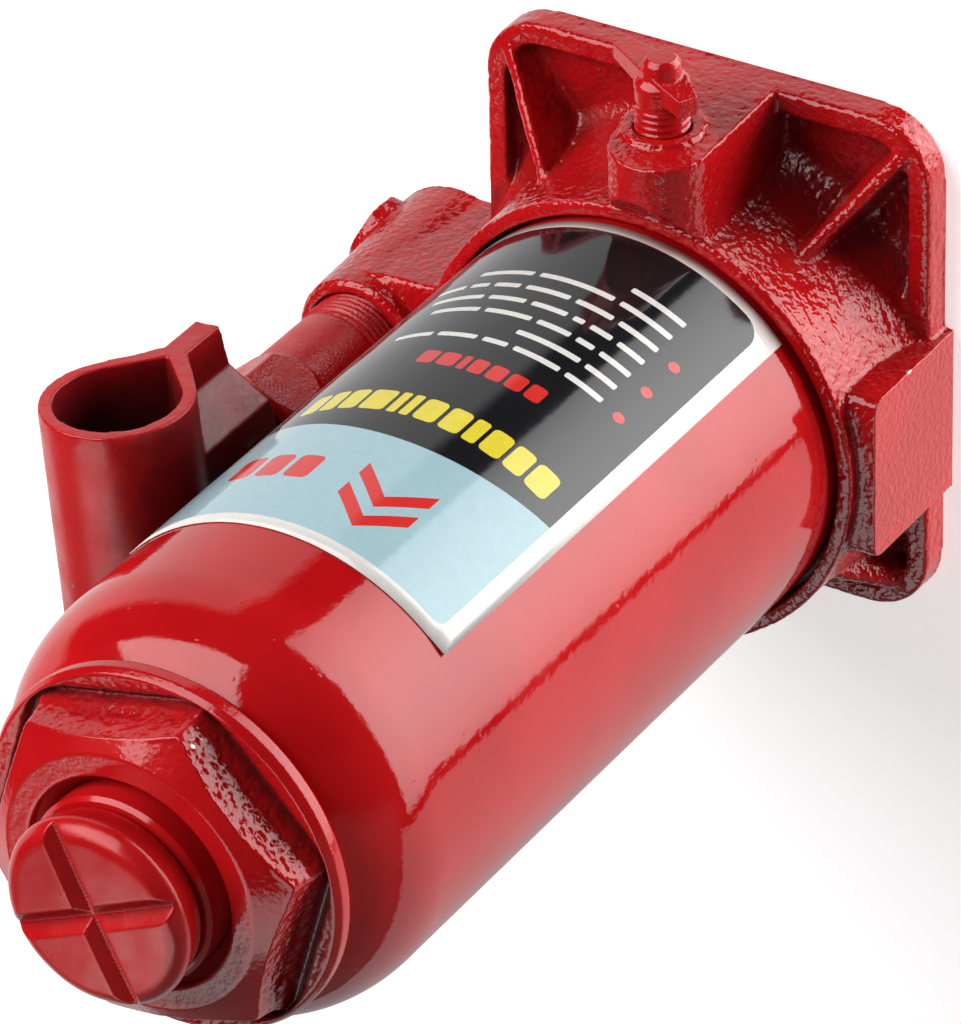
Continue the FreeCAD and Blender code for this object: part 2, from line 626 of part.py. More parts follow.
def label():
    """Thin printed label round the tank's front."""
    low, high = COLLAR_TOP_Z + LABEL_FOOT_GAP, SHOULDER_START_Z - LABEL_TOP_GAP
    inner = TANK_R + LABEL_GLUE
    outer = inner + LABEL_THICK
    sector = face([(inner, 0, low), (outer, 0, low), (outer, 0, high), (inner, 0, high)])
    sheet = sector.revolve(Vector(0, 0, 0), Z, LABEL_END - LABEL_START)
    sheet.rotate(Vector(0, 0, 0), Z, LABEL_START)
    return sheet


def tank_gasket():
    """Flat gasket under the tank's foot."""
    return ring(TANK_R + TANK_GROOVE_PLAY - 2 * SEAT, TANK_IN_R - GASKET_REACH, TANK_SEAT_Z, TANK_FOOT_Z)


def tank_nut():
    """Nut that clamps the tank: round flange, cove, hexagon with a turned chamfer, bore with a wiper groove."""
    flange_low, flange_high = SHOULDER_END_Z, NUT_FLANGE_TOP_Z
    corner = NUT_FLATS / math.sqrt(3)
    rise = (corner - NUT_CHAMFER_R) * math.tan(math.radians(NUT_CHAMFER_ANGLE))
    cone = turned([(0, flange_low), (corner, flange_low), (corner, NUT_TOP_Z - rise),
                   (NUT_CHAMFER_R, NUT_TOP_Z), (0, NUT_TOP_Z)])
    prism = hexagon(NUT_FLATS, flange_low, NUT_TOP_Z, NUT_HEX_TURN)
    uprights = [e for e in prism.Edges if e.BoundBox.ZLength > e.Length / 2]
    hexed = prism.makeFillet(NUT_CORNER_R, uprights).common(cone)
    flange = turned([(0, flange_low), (NUT_FLANGE_R - 1.2, flange_low), (NUT_FLANGE_R, flange_low + 1.2),
                     (NUT_FLANGE_R, flange_high - 1.6), (NUT_FLANGE_R - 1.0, flange_high), (0, flange_high)])
    body = fused(hexed, flange)
    foot = [e for e in body.Edges if abs(e.BoundBox.ZMin - flange_high) < 1e-6 and e.BoundBox.ZLength < 1e-6
            and max(math.hypot(v.X, v.Y) for v in e.Vertexes) < (corner + NUT_FLANGE_R) / 2]
    body = body.makeFillet(NUT_COVE_R, foot)
    body = fused(body, rod(NUT_SPIGOT_R, flange_low - NUT_SPIGOT_DROP, flange_low + 1))
    low, high = wiper_heights()
    seal = SHOULDER_END_R - NUT_LAND / 2
    half = NUT_SEAL_R + 0.3
    return body.cut([rod(CYL_R + SEAT, flange_low - NUT_SPIGOT_DROP - 1, CYL_TOP_Z),
                     rod(NUT_BORE_R, flange_low, NUT_TOP_Z + 1), rod(NUT_BORE_R + WIPER_GROOVE, low, high),
                     ring(seal + half, seal - half, flange_low - 1, flange_low + 2 * NUT_SEAL_R)])


def wiper_heights():
    """Low and high faces of the wiper's groove in the nut."""
    return NUT_TOP_Z - WIPER_DEPTH - WIPER_HEIGHT, NUT_TOP_Z - WIPER_DEPTH


def tank_nut_seal():
    """Ring seal between the nut and the tank's land."""
    middle = Vector(0, 0, SHOULDER_END_Z + NUT_SEAL_R)
    return Part.makeTorus(SHOULDER_END_R - NUT_LAND / 2, NUT_SEAL_R, middle, Z)


def ram_wiper():
    """Wiper ring in the nut's bore, lipped towards the ram."""
    low, high = wiper_heights()
    lip, back = RAM_R + LIP, NUT_BORE_R + WIPER_GROOVE - SEAT
    return turned([(lip, low + 0.2), (back, low + SEAT), (back, high - SEAT), (NUT_BORE_R, high - SEAT),
                   (lip, high - WIPER_HEIGHT * 0.4)])


def cylinder():
    """Lifting cylinder, screwed into the base and the nut."""
    return turned([(CYL_BORE_R, CYL_FOOT_Z), (CYL_R - 0.8, CYL_FOOT_Z), (CYL_R, CYL_FOOT_Z + 0.8),
                   (CYL_R, CYL_TOP_Z - 1), (CYL_R - 1, CYL_TOP_Z), (CYL_BORE_R + 0.8, CYL_TOP_Z),
                   (CYL_BORE_R, CYL_TOP_Z - 0.8)])


def cylinder_gasket():
    """Flat gasket under the lifting cylinder."""
    return ring(CYL_R, CYL_BORE_R, CYLINDER_SEAT_Z, CYL_FOOT_Z)


def ram():
    """Ram: piston head, long rod, stud for the seal and a blind thread for the extension screw."""
    low, high = PISTON_HEAD_Z
    stud_low = low - CUP_HEIGHT - RETAINER_HEIGHT - 0.8
    bore = SCREW_R + RUN
    mouth = RAM_WALL * 0.52
    bore_end = SCREW_FOOT_Z - 4
    return turned([(0, stud_low), (PISTON_STUD_R - 0.6, stud_low), (PISTON_STUD_R, stud_low + 0.6),
                   (PISTON_STUD_R, low), (CYL_BORE_R - 0.3, low), (CYL_BORE_R - RUN, low + 0.6),
                   (CYL_BORE_R - RUN, high), (RAM_R, high), (RAM_R, RAM_TOP_Z - 0.8), (RAM_R - 0.8, RAM_TOP_Z),
                   (bore + mouth, RAM_TOP_Z), (bore, RAM_TOP_Z - mouth), (bore, bore_end),
                   (0, bore_end - bore * 0.5)])


def piston_cup():
    """Cup seal under the piston head, with its lip turned down to the oil."""
    high = PISTON_HEAD_Z[0]
    low = high - CUP_HEIGHT
    wall = CYL_BORE_R - LIP
    web = high - CUP_WEB
    return turned([(PISTON_STUD_R + SEAT, high), (wall, high), (wall + LIP - RUN, low), (wall - 1.6, low),
                   (wall - 3.4, web), (PISTON_STUD_R + SEAT, web)])


def piston_retainer():
    """Washer nut that holds the cup on the ram's stud."""
    high = PISTON_HEAD_Z[0] - CUP_WEB
    low = PISTON_HEAD_Z[0] - CUP_HEIGHT - RETAINER_HEIGHT
    bore = PISTON_STUD_R + SEAT
    rim = RETAINER_R
    return turned([(bore, low), (rim - 1, low), (rim, low + 1), (rim, high), (bore, high)])


def ram_stop_ring():
    """Guide and stop ring on the piston head, which meets the nut at full lift."""
    return ring(CYL_BORE_R - RUN, RAM_R + SEAT, PISTON_HEAD_Z[1], PISTON_HEAD_Z[1] + STOP_RING_HEIGHT)


def extension_screw():
    """Extension screw with its round saddle head and the crossed grooves."""
    relief = SCREW_R - SCREW_RELIEF
    foot, edge = SADDLE_TOP_Z - SADDLE_HEIGHT, SADDLE_EDGE_R
    thread_end, neck_start = RAM_TOP_Z - SCREW_NECK, RAM_TOP_Z - SCREW_NECK * 0.8
    neck_end, throat = RAM_TOP_Z - SCREW_NECK * 0.5, RAM_TOP_Z - SCREW_NECK * 0.28
    body = turned([(0, SCREW_FOOT_Z), (SCREW_R - 1, SCREW_FOOT_Z), (SCREW_R, SCREW_FOOT_Z + 1),
                   (SCREW_R, thread_end), (relief, neck_start), (relief, neck_end), (SCREW_R + 0.8, throat),
                   (SCREW_R + 1.8, foot), (SADDLE_R - SADDLE_FOOT_INSET, foot), (SADDLE_R, SADDLE_TOP_Z - edge),
                   (SADDLE_R, SADDLE_TOP_Z), (0, SADDLE_TOP_Z)])
    rim = [e for e in body.Edges if e.BoundBox.ZMin > SADDLE_TOP_Z - 1e-6]
    body = body.makeFillet(edge * 0.999, rim)
    half, reach, high = GROOVE_WIDTH / 2, SADDLE_R + 2, SADDLE_TOP_Z + 0.01
    vee = face([(-reach, -half, high), (-reach, 0, SADDLE_TOP_Z - GROOVE_DEPTH), (-reach, half, high)])
    grooves = []
    for turn in (GROOVE_ANGLE, GROOVE_ANGLE + 90):
        groove = vee.extrude(Vector(2 * reach, 0, 0))
        groove.rotate(Vector(0, 0, 0), Z, turn)
        grooves.append(groove)
    return body.cut(grooves)


def thread_ridges(crest, root, low, high, pitch):
    """Profile points of a thread that is modelled as rings."""
    points = []
    for k in range(int((high - low) / pitch)):
        z = low + k * pitch
        points += [(root, z + pitch * 0.45), (crest, z + pitch * 0.9)]
    return points


def pump_barrel():
    """Pump barrel: threaded root, round body and a chamfered hexagon, bored for the plunger and the gland."""
    hex_low, top = BARREL_TOP_Z - BARREL_HEX_HEIGHT, BARREL_TOP_Z
    foot = BARREL_SEAT_Z + BARREL_WASHER
    corner = BARREL_FLATS / math.sqrt(3)
    body = rod(BARREL_R, BARREL_THREAD_TOP_Z, hex_low + 1)
    root = BARREL_THREAD_R - BARREL_THREAD_DEPTH
    ridges = BOSS_TOP_Z + 0.2
    thread = [(0, foot), (root, foot), (BARREL_THREAD_R, foot + 0.8), (BARREL_THREAD_R, ridges)]
    thread += thread_ridges(BARREL_THREAD_R, root, ridges, BARREL_THREAD_TOP_Z, BARREL_PITCH)
    thread += [(root, BARREL_THREAD_TOP_Z), (0, BARREL_THREAD_TOP_Z)]
    bound = turned([(0, hex_low), (BARREL_R - 0.2, hex_low), (corner - 0.2, hex_low + BARREL_RUN_OUT),
                    (corner - 0.2, top - 1.2), (BARREL_FLATS / 2 - 0.2, top), (0, top)])
    head = hexagon(BARREL_FLATS, hex_low, top, BARREL_HEX_TURN).common(bound)
    barrel = fused(body, turned(thread), head)
    return barrel_bored(barrel, foot, top)


def barrel_bored(barrel, foot, top):
    """Bore for the plunger and recess for the gland seal, then set over the pump's seat."""
    bore = rod(PLUNGER_R + RUN, foot - 1, top + 1)
    recess = rod(GLAND_R + SEAT, top - GLAND_DEPTH, top + 1)
    return at_pump(barrel.cut([bore, recess]))


def barrel_washer():
    """Sealing washer under the barrel."""
    low = BARREL_SEAT_Z
    return at_pump(ring(BARREL_THREAD_R - WASHER_INSET, PLUNGER_R + WASHER_BORE, low, low + BARREL_WASHER))


def gland_seal():
    """Wiper seal round the plunger at the barrel's mouth."""
    low = BARREL_TOP_Z - GLAND_DEPTH
    return at_pump(ring(GLAND_R, PLUNGER_R + LIP, low, BARREL_TOP_Z - 0.5))


def pump_plunger():
    """Pump plunger with a flat eye for its pin."""
    eye = cross_pin(EYE_R + 0.8, EYE_HALF, 0, PIN_Z)
    neck = rod(PLUNGER_R, PLUNGER_FOOT_Z, PIN_Z)
    seat = rod(PLUNGER_R - CUP_RIM, PLUNGER_FOOT_Z - CUP_SEAT, PLUNGER_FOOT_Z + 1)
    return at_pump(fused(neck, eye, seat).cut(cross_pin(PIN_R + RUN, EAR_OUT, 0, PIN_Z)))


def plunger_cup():
    """Cup seal at the plunger's foot."""
    return at_pump(ring(PLUNGER_R, PLUNGER_R - CUP_RIM + SEAT, PLUNGER_FOOT_Z - CUP_SEAT, PLUNGER_FOOT_Z))


def ear_plan(side):
    """Plan outline of one ear: pinched flange at the mouth, joggle and straight cheek round the plunger."""
    start, end = JOGGLE
    inner = [(0.0, SOCKET_MOUTH), (0.0, start), (EAR_GAP / 2, end), (EAR_GAP / 2, SOCKET_REAR)]
    turn = SHEET * math.tan(math.atan2(EAR_GAP / 2, end - start) / 2)
    outer = [(EAR_OUT, SOCKET_REAR), (EAR_OUT, end - turn), (SHEET, start - turn), (SHEET, SOCKET_MOUTH)]
    low = PIN_Z - 2 * LUG_R
    points = [(side * u, w, low) for u, w in inner + outer]
    return face(points).extrude(Vector(0, 0, SOCKET_Z - low))


def ear_side():
    """Side outline of the ears: the horn at the mouth and a lug round each pin."""
    half = EAR_OUT + 1
    lug_low = PIN_Z - LUG_R
    back = LINK_BACK + LUG_R
    outline = [(SOCKET_MOUTH, SOCKET_Z), (SOCKET_MOUTH, PIN_Z - HORN_DROP), (JOGGLE[0] + 1.5, lug_low + 3.2),
               (-LUG_R * 0.4, lug_low + 0.2), (LUG_R * 0.5, lug_low + 1.2), (back, LINK_Z - LUG_R * 0.3),
               (back, SOCKET_Z - SOCKET_R), (SOCKET_REAR, SOCKET_Z - SOCKET_R * 0.7), (SOCKET_REAR, SOCKET_Z)]
    plate = side_plate(outline, -half, half)
    return fused(plate, cross_pin(LUG_R, half, 0, PIN_Z), cross_pin(LUG_R, half, LINK_BACK, LINK_Z))


def handle_socket():
    """Handle socket: rolled drop-shaped tube, pinched flange and spread ears, in one piece of sheet."""
    def lying(radius, start, end):
        return Part.makeCylinder(radius, end - start, Vector(0, start, SOCKET_Z), Vector(0, 1, 0))

    def drop(radius, half, tip, start, end):
        """Neck of the drop under the tube, tangent to its circle."""
        lean = math.acos(radius / (tip + half))
        touch = (radius * math.sin(lean), SOCKET_Z - radius * math.cos(lean))
        low = SOCKET_Z - tip
        outline = face([(-touch[0], start, touch[1]), (-half, start, low), (half, start, low),
                        (touch[0], start, touch[1]), (0, start, SOCKET_Z)])
        return outline.extrude(Vector(0, end - start, 0))

    ears = fused(ear_plan(1), ear_plan(-1)).common(ear_side())
    shell = fused(lying(SOCKET_R, SOCKET_MOUTH, SOCKET_REAR),
                  drop(SOCKET_R, SHEET, CUSP_DROP, SOCKET_MOUTH, NECK_END))
    bore_r = SOCKET_R - SHEET
    hollow = fused(lying(bore_r, SOCKET_MOUTH - 1, SOCKET_REAR + 1),
                   drop(bore_r, 0.2, CUSP_DROP - SHEET, SOCKET_MOUTH - 1, NECK_END - SHEET))
    between = box((-EAR_GAP / 2, NECK_END, PIN_Z - 2 * LUG_R),
                  (EAR_GAP / 2, SOCKET_REAR + 1, SOCKET_Z - bore_r * 0.4))
    hole = cross_pin(PIN_R + PIVOT_PLAY, EAR_OUT + 1, LINK_BACK - LINK_SAG / 2, LINK_Z)
    body = shell.fuse(ears).cut([hollow, between, hole, cross_pin(PIN_R + SEAT, EAR_OUT + 1, 0, PIN_Z)])
    return at_pump(body.removeSplitter())


def link():
    """Link from the socket's ears down to the clevis on the base."""
    front, back = LINK_BACK - LINK_WAIST / 2, LINK_BACK + LINK_WAIST / 2
    half = EYE_HALF - LINK_INSET
    outline = [(front, LINK_FOOT_Z), (back, LINK_FOOT_Z), (back, LINK_Z), (front, LINK_Z)]
    strap = side_plate(outline, -half, half)
    body = fused(strap, *[cross_pin(EYE_R, EYE_HALF, *place) for place in LINK_EYES])
    return at_pump(body.cut([cross_pin(PIN_R + RUN, EAR_OUT, *place) for place in LINK_EYES]))


def clip_places(half, sides):
    """Low sideways ends of the clip grooves of a pin."""
    return [half - CLIP_INSET - CLIP if side > 0 else -half + CLIP_INSET for side in sides]


def clipped_pin(back, height, half, sides, blind):
    """Pin with a clip groove near each end that is free, and its other end moved to a blind hole's depth."""
    pin = Part.makeCylinder(PIN_R, half + blind, Vector(-blind, back, height), Vector(1, 0, 0))
    grooves = []
    for start in clip_places(half, sides):
        outer = Part.makeCylinder(PIN_R + 1, CLIP, Vector(start, back, height), Vector(1, 0, 0))
        core = Part.makeCylinder(PIN_R - CLIP_GROOVE, CLIP, Vector(start, back, height), Vector(1, 0, 0))
        grooves.append(outer.cut(core))
    return at_pump(pin.cut(grooves))


def pin_clips(back, height, half, sides):
    """Clips in the grooves of one pin."""
    clips = []
    for start in clip_places(half, sides):
        outer = Part.makeCylinder(CLIP_R, CLIP, Vector(start, back, height), Vector(1, 0, 0))
        core = Part.makeCylinder(PIN_R - CLIP_GROOVE, CLIP, Vector(start, back, height), Vector(1, 0, 0))
        clips.append(at_pump(outer.cut(core)))
    return Part.makeCompound(clips)


def release_valve_screw():
    """Release valve screw: winged head, thread, stem with a seal groove and a nose for the ball."""
    head_low, head_high = -VALVE_HEAD_Y[1], -VALVE_HEAD_Y[0]
    thread_low = -VALVE_THREAD_END_Y
    stem_low = -VALVE_STEM_END_Y
    ball_front = -VALVE_SEAT_Y + seated(VALVE_BALL_R, VALVE_BALL_R * 0.5) + VALVE_BALL_R
    seal = (thread_low + stem_low) / 2
    nose, groove = VALVE_BALL_R * 0.7, VALVE_STEM_R - ORING * 0.8
    profile = [(0, ball_front + SEAT), (nose, ball_front + SEAT), (nose, stem_low + 0.3),
               (VALVE_STEM_R, stem_low + 0.8), (VALVE_STEM_R, seal - ORING / 2), (groove, seal - ORING / 2),
               (groove, seal + ORING / 2), (VALVE_STEM_R, seal + ORING / 2), (VALVE_STEM_R, thread_low)]
    root = VALVE_THREAD_R - VALVE_THREAD_DEPTH
    ridges = -VALVE_SPOT_Y - 1
    profile += [(VALVE_THREAD_R, thread_low + 0.6), (VALVE_THREAD_R, ridges)]
    profile += thread_ridges(VALVE_THREAD_R, root, ridges, head_low, VALVE_PITCH)
    profile += [(root, head_low), (0, head_low)]
    shank = turned(profile)
    hub = turned([(0, head_low), (VALVE_HUB_R - 1, head_low), (VALVE_HUB_R, head_low + 1),
                  (VALVE_HUB_R, head_high - 1.6), (VALVE_HUB_R - 1.6, head_high), (0, head_high)])
    half, thick = VALVE_WING_SPAN / 2, VALVE_WING_THICK / 2
    wing = box((-half, -thick, head_low + 0.6), (half, thick, head_high - 1.4))
    ends = [e for e in wing.Edges if e.BoundBox.XLength < 1e-6 and e.BoundBox.YLength < 1e-6]
    wing = wing.makeFillet(thick * 0.7, ends)
    wing.rotate(Vector(0, 0, 0), Z, VALVE_WING_ANGLE)
    return at_valve(fused(shank, hub, wing))


def release_valve_seal():
    """Ring seal in the valve stem's groove."""
    seal = -(VALVE_THREAD_END_Y + VALVE_STEM_END_Y) / 2
    half = ORING * 0.4
    return at_valve(Part.makeTorus(VALVE_STEM_R - half, half, Vector(0, 0, seal), Z))


def release_valve_ball():
    """Ball that the release valve presses on its seat."""
    y = VALVE_SEAT_Y - seated(VALVE_BALL_R, VALVE_BALL_R * 0.5)
    return Part.makeSphere(VALVE_BALL_R, Vector(VALVE_X, y, VALVE_Z))


def passage_plug():
    """Screw plug with a hexagon socket in the side boss."""
    start = PLUG_BOSS_REACH - PLUG_LENGTH
    socket = hexagon(PLUG_KEY, PLUG_LENGTH - PLUG_KEY_DEPTH, PLUG_LENGTH + 1)
    plug = rod(PLUG_R, 0, PLUG_LENGTH - 0.6).cut(socket)
    axis = plug_axis()
    plug.Placement = Placement(Vector(PUMP_X, PUMP_Y, PASSAGE_Z) + axis * start, Rotation(Z, axis))
    return plug


def suction_ball():
    """Check ball between the riser and the pump chamber."""
    reach = SUCTION_SEAT + seated(CHECK_BALL_R, SUCTION_HOLE_R)
    return Part.makeSphere(CHECK_BALL_R, Vector(PUMP_X, PUMP_Y, PASSAGE_Z) + plug_axis() * reach)


def suction_spring():
    """Spring from the side plug to the suction ball."""
    reach = SUCTION_SEAT + seated(CHECK_BALL_R, SUCTION_HOLE_R) + CHECK_BALL_R * SPRING_REST
    spring = coil(CHECK_BALL_R - 2 * WIRE_R, 0, PLUG_BOSS_REACH - PLUG_LENGTH - reach, SPRING_TURNS + 2)
    spring.Placement = Placement(Vector(PUMP_X, PUMP_Y, PASSAGE_Z) + plug_axis() * reach,
                                 Rotation(Z, plug_axis())).multiply(spring.Placement)
    return spring


def small_ball(x, y):
    """Ball of a valve that is closed from below."""
    return Part.makeSphere(SMALL_BALL_R, Vector(x, y, SMALL_SEAT_Z - seated(SMALL_BALL_R, DRILL_R)))


def small_spring(x, y):
    """Spring under a small ball."""
    ball_z = SMALL_SEAT_Z - seated(SMALL_BALL_R, DRILL_R)
    high = ball_z - SMALL_BALL_R * SPRING_REST
    spring = coil(SMALL_BALL_R - 2 * WIRE_R, SMALL_PLUG_Z[1] + SEAT, high, SPRING_TURNS - 1)
    spring.translate(Vector(x, y, 0))
    return spring


def small_plug(x, y):
    """Screw plug with a slot under a small valve."""
    low, high = SMALL_PLUG_Z
    half = SMALL_SLOT / 2
    slot = box((x - SMALL_PLUG_R, y - half, low - 1), (x + SMALL_PLUG_R, y + half, low + SMALL_SLOT))
    return rod(SMALL_PLUG_R, low, high, x, y).cut(slot)


def oil_screen():
    """Strainer disc over the riser in the tank's floor."""
    radius = OIL_GAP / 2 - GASKET_REACH - SCREEN_CLEAR
    high = TANK_SEAT_Z + SCREEN_THICK
    disc = rod(radius, TANK_SEAT_Z, high, RISER.x, RISER.y)
    holes = []
    for k in range(6):
        a = math.radians(60 * k)
        x, y = RISER.x + math.cos(a), RISER.y + math.sin(a)
        holes.append(rod(SCREEN_HOLE_R, TANK_SEAT_Z - 1, high + 1, x, y))
    return disc.cut(holes)


BOTH, OUTER = (-1, 1), (1,)
PINS = {
    "plunger": (0, PIN_Z, PIN_HALF, BOTH, PIN_HALF),
    "upper_link": (LINK_BACK, LINK_Z, PIN_HALF, BOTH, PIN_HALF),
    "lower_link": (LINK_BACK, LINK_FOOT_Z, CLEVIS_PIN_HALF, OUTER, CLEVIS_HOLE),
}


def nodes():
    """Every piece of the jack under its own name."""
    pieces = {
        "base": base(),
        "tank_gasket": tank_gasket(),
        "reservoir_tube": reservoir_tube(),
        "label": label(),
        "filler_plug": filler_plug(),
        "tank_nut": tank_nut(),
        "tank_nut_seal": tank_nut_seal(),
        "ram_wiper": ram_wiper(),
        "cylinder": cylinder(),
        "cylinder_gasket": cylinder_gasket(),
        "ram": ram(),
        "piston_cup": piston_cup(),
        "piston_retainer": piston_retainer(),
        "ram_stop_ring": ram_stop_ring(),
        "extension_screw": extension_screw(),
        "pump_barrel": pump_barrel(),
        "barrel_washer": barrel_washer(),
        "gland_seal": gland_seal(),
        "pump_plunger": pump_plunger(),
        "plunger_cup": plunger_cup(),
        "handle_socket": handle_socket(),
        "link": link(),
        "release_valve_screw": release_valve_screw(),
        "release_valve_seal": release_valve_seal(),
        "release_valve_ball": release_valve_ball(),
        "passage_plug": passage_plug(),
        "suction_ball": suction_ball(),
        "suction_spring": suction_spring(),
        "oil_screen": oil_screen(),
    }
    for name, place in (("discharge", DISCHARGE_AT), ("overload", OVERLOAD_AT)):
        pieces[f"{name}_ball"] = small_ball(*place)
        pieces[f"{name}_spring"] = small_spring(*place)
        pieces[f"{name}_plug"] = small_plug(*place)
    for name, (back, height, half, sides, blind) in PINS.items():
        pieces[f"{name}_pin"] = clipped_pin(back, height, half, sides, blind)
        pieces[f"{name}_pin_clips"] = pin_clips(back, height, half, sides)
    return pieces


def main():
    """Writes one file per piece."""
    os.makedirs("parts", exist_ok=True)
    for name, shape in nodes().items():
        shape.exportStep(f"parts/{name}.step")
        low, high = shape.BoundBox.ZMin, shape.BoundBox.ZMax
        print(f"{name}: {len(shape.Solids)} solid(s), valid {shape.isValid()}, volume {shape.Volume:.1f}, "
              f"z {low:.2f} to {high:.2f}")
    print(f"pump stroke {PUMP_STROKE:.3f} mm, lever {LEVER_SWING} degrees")


main()
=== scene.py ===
"""Looks of the hydraulic bottle jack: painted castings, threads, the printed label, the studio and camera."""
import json
import logging
import math
from dataclasses import dataclass
from enum import Enum, IntEnum
from typing import Callable, Optional, Union

import bmesh
import bpy
import numpy as np
from mathutils import Matrix, Vector, geometry, noise

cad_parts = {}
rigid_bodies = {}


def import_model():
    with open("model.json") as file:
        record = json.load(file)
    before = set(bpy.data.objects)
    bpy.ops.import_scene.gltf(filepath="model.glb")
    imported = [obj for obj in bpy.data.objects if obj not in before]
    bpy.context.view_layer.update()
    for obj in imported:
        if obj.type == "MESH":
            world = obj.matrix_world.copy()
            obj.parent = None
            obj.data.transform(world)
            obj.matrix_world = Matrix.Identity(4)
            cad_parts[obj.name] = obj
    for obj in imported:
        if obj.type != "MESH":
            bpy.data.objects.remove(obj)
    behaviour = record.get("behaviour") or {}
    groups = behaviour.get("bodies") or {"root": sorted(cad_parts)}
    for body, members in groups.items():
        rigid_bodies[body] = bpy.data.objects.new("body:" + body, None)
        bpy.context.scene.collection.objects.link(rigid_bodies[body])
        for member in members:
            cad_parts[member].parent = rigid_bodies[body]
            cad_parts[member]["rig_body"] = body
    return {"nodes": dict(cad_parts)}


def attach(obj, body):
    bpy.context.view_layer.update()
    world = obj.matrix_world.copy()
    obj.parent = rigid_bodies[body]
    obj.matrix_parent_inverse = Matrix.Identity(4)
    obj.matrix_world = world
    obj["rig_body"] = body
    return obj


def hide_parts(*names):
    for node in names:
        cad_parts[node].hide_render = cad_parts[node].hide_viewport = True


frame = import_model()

LOG = logging.getLogger("jack")
MM = 0.001
Pair = tuple[float, float]
Relief = Callable[[Vector, Vector], float]
Tone = tuple[float, float, float]
Solid = bpy.types.Object
Socket = bpy.types.NodeSocket
Value = Union[Socket, float]

# Points closer than WELD, in metres, are joined, and a radius below ON_AXIS, in millimetres, is none
WELD = 1e-7
ON_AXIS = 1e-6

# Foot of the pump's axis, the outward turn of its linkage in degrees, and where the release valve's axis lies
PUMP_FOOT = (64.0, -2.3, 0.0)
PUMP_TURN = 4.0
VALVE_AXIS = (-3.5, 0.0, 29.0)


# Shared measuring and mesh work

def ramp(low: float, high: float, value: float) -> float:
    """Smooth step of value from 0 at low to 1 at high."""
    t = min(1.0, max(0.0, (value - low) / (high - low)))
    return t * t * (3 - 2 * t)


def grain(point: Vector, size_mm: float, octaves: int = 3) -> float:
    """Fractal noise of about -1 to 1 whose lumps are size_mm across."""
    return noise.fractal(point / (size_mm * MM), 1.0, 2.0, octaves)


def around(radius: float, angle: float, height: float) -> Vector:
    """The point in metres at a radius and height in millimetres and an angle in radians about the Z axis."""
    return Vector((radius * math.cos(angle) * MM, radius * math.sin(angle) * MM, height * MM))


def linked(name: str, data: bpy.types.ID) -> Solid:
    """A new object with this data, linked to the scene."""
    obj = bpy.data.objects.new(name, data)
    bpy.context.scene.collection.objects.link(obj)
    return obj


def piece(name: str, verts: list, faces: list, smooth: bool = True) -> Solid:
    """Adds a mesh object.

    Args:
        name: the piece's name.
        verts: points in metres.
        faces: lists of point numbers.
        smooth: whether its faces are shaded smooth.

    Returns:
        The object, linked to the scene.
    """
    mesh = bpy.data.meshes.new(name)
    mesh.from_pydata([tuple(v) for v in verts], [], faces)
    mesh.validate()
    mesh.polygons.foreach_set("use_smooth", [smooth] * len(mesh.polygons))
    return linked(name, mesh)


def lathe(name: str, profile: list[Pair], steps: int, place: Matrix = Matrix()) -> Solid:
    """Turns a profile about the Z axis.

    Args:
        name: the piece's name.
        profile: (radius, height) points in millimetres, closed by the axis or by its own first point.
        steps: how many steps a full turn has.
        place: where the turned piece is put.

    Returns:
        The closed mesh.
    """
    verts, rows = [], []
    for radius, height in profile:
        if radius < ON_AXIS:
            rows.append([len(verts)] * steps)
            verts.append(place @ around(0.0, 0.0, height))
            continue
        rows.append(list(range(len(verts), len(verts) + steps)))
        verts += [place @ around(radius, 2 * math.pi * k / steps, height) for k in range(steps)]
    faces = []
    closed = profile[0][0] > ON_AXIS
    for row, above in zip(rows, rows[1:] + (rows[:1] if closed else [])):
        for k in range(steps):
            corner = [row[k], row[(k + 1) % steps], above[(k + 1) % steps], above[k]]
            corner = [c for n, c in enumerate(corner) if c not in corner[:n]]
            if len(corner) > 2:
                faces.append(corner)
    return piece(name, verts, faces)


@dataclass(frozen=True)
class Thread:
    """A screw thread's ridge about the Z axis, in millimetres, with its section's half widths in pitches."""

    crest: float
    root: float
    pitch: float
    low: float
    high: float
    steps: int = 72
    foot: float = 0.49
    flank: float = 0.44
    flat: float = 0.06
    sink: float = 0.3

    def build(self, name: str, place: Matrix = Matrix()) -> Solid:
        """Winds the ridge as a closed strip, run out at both ends."""
        count = int((self.high - self.low) / self.pitch * self.steps)
        verts = []
        inside = self.root - self.sink * self.pitch
        for k in range(count + 1):
            z = self.low + self.pitch * k / self.steps
            fade = min(1.0, 2 * k / self.steps, 2 * (count - k) / self.steps)
            crest = self.root + (self.crest - self.root) * fade
            half = [(inside, self.foot), (self.root, self.flank), (crest, self.flat)]
            for radius, rise in [(r, -s) for r, s in half] + half[::-1]:
                verts.append(place @ around(radius, 2 * math.pi * k / self.steps, z + rise * self.pitch))
        faces = []
        for k in range(count):
            for n in range(6):
                m = (n + 1) % 6
                faces.append([6 * k + n, 6 * k + 6 + n, 6 * k + 6 + m, 6 * k + m])
        faces += [list(range(6)), list(range(6 * count, 6 * count + 6))[::-1]]
        return piece(name, verts, faces)


def copy_of(node: str) -> Solid:
    """A free copy of a CAD node's mesh to work on, with its split points joined."""
    mesh = frame["nodes"][node].data.copy()
    grid = bmesh.new()
    grid.from_mesh(mesh)
    bmesh.ops.remove_doubles(grid, verts=grid.verts, dist=WELD)
    grid.to_mesh(mesh)
    grid.free()
    mesh.materials.clear()
    return linked(node + "_copy", mesh)


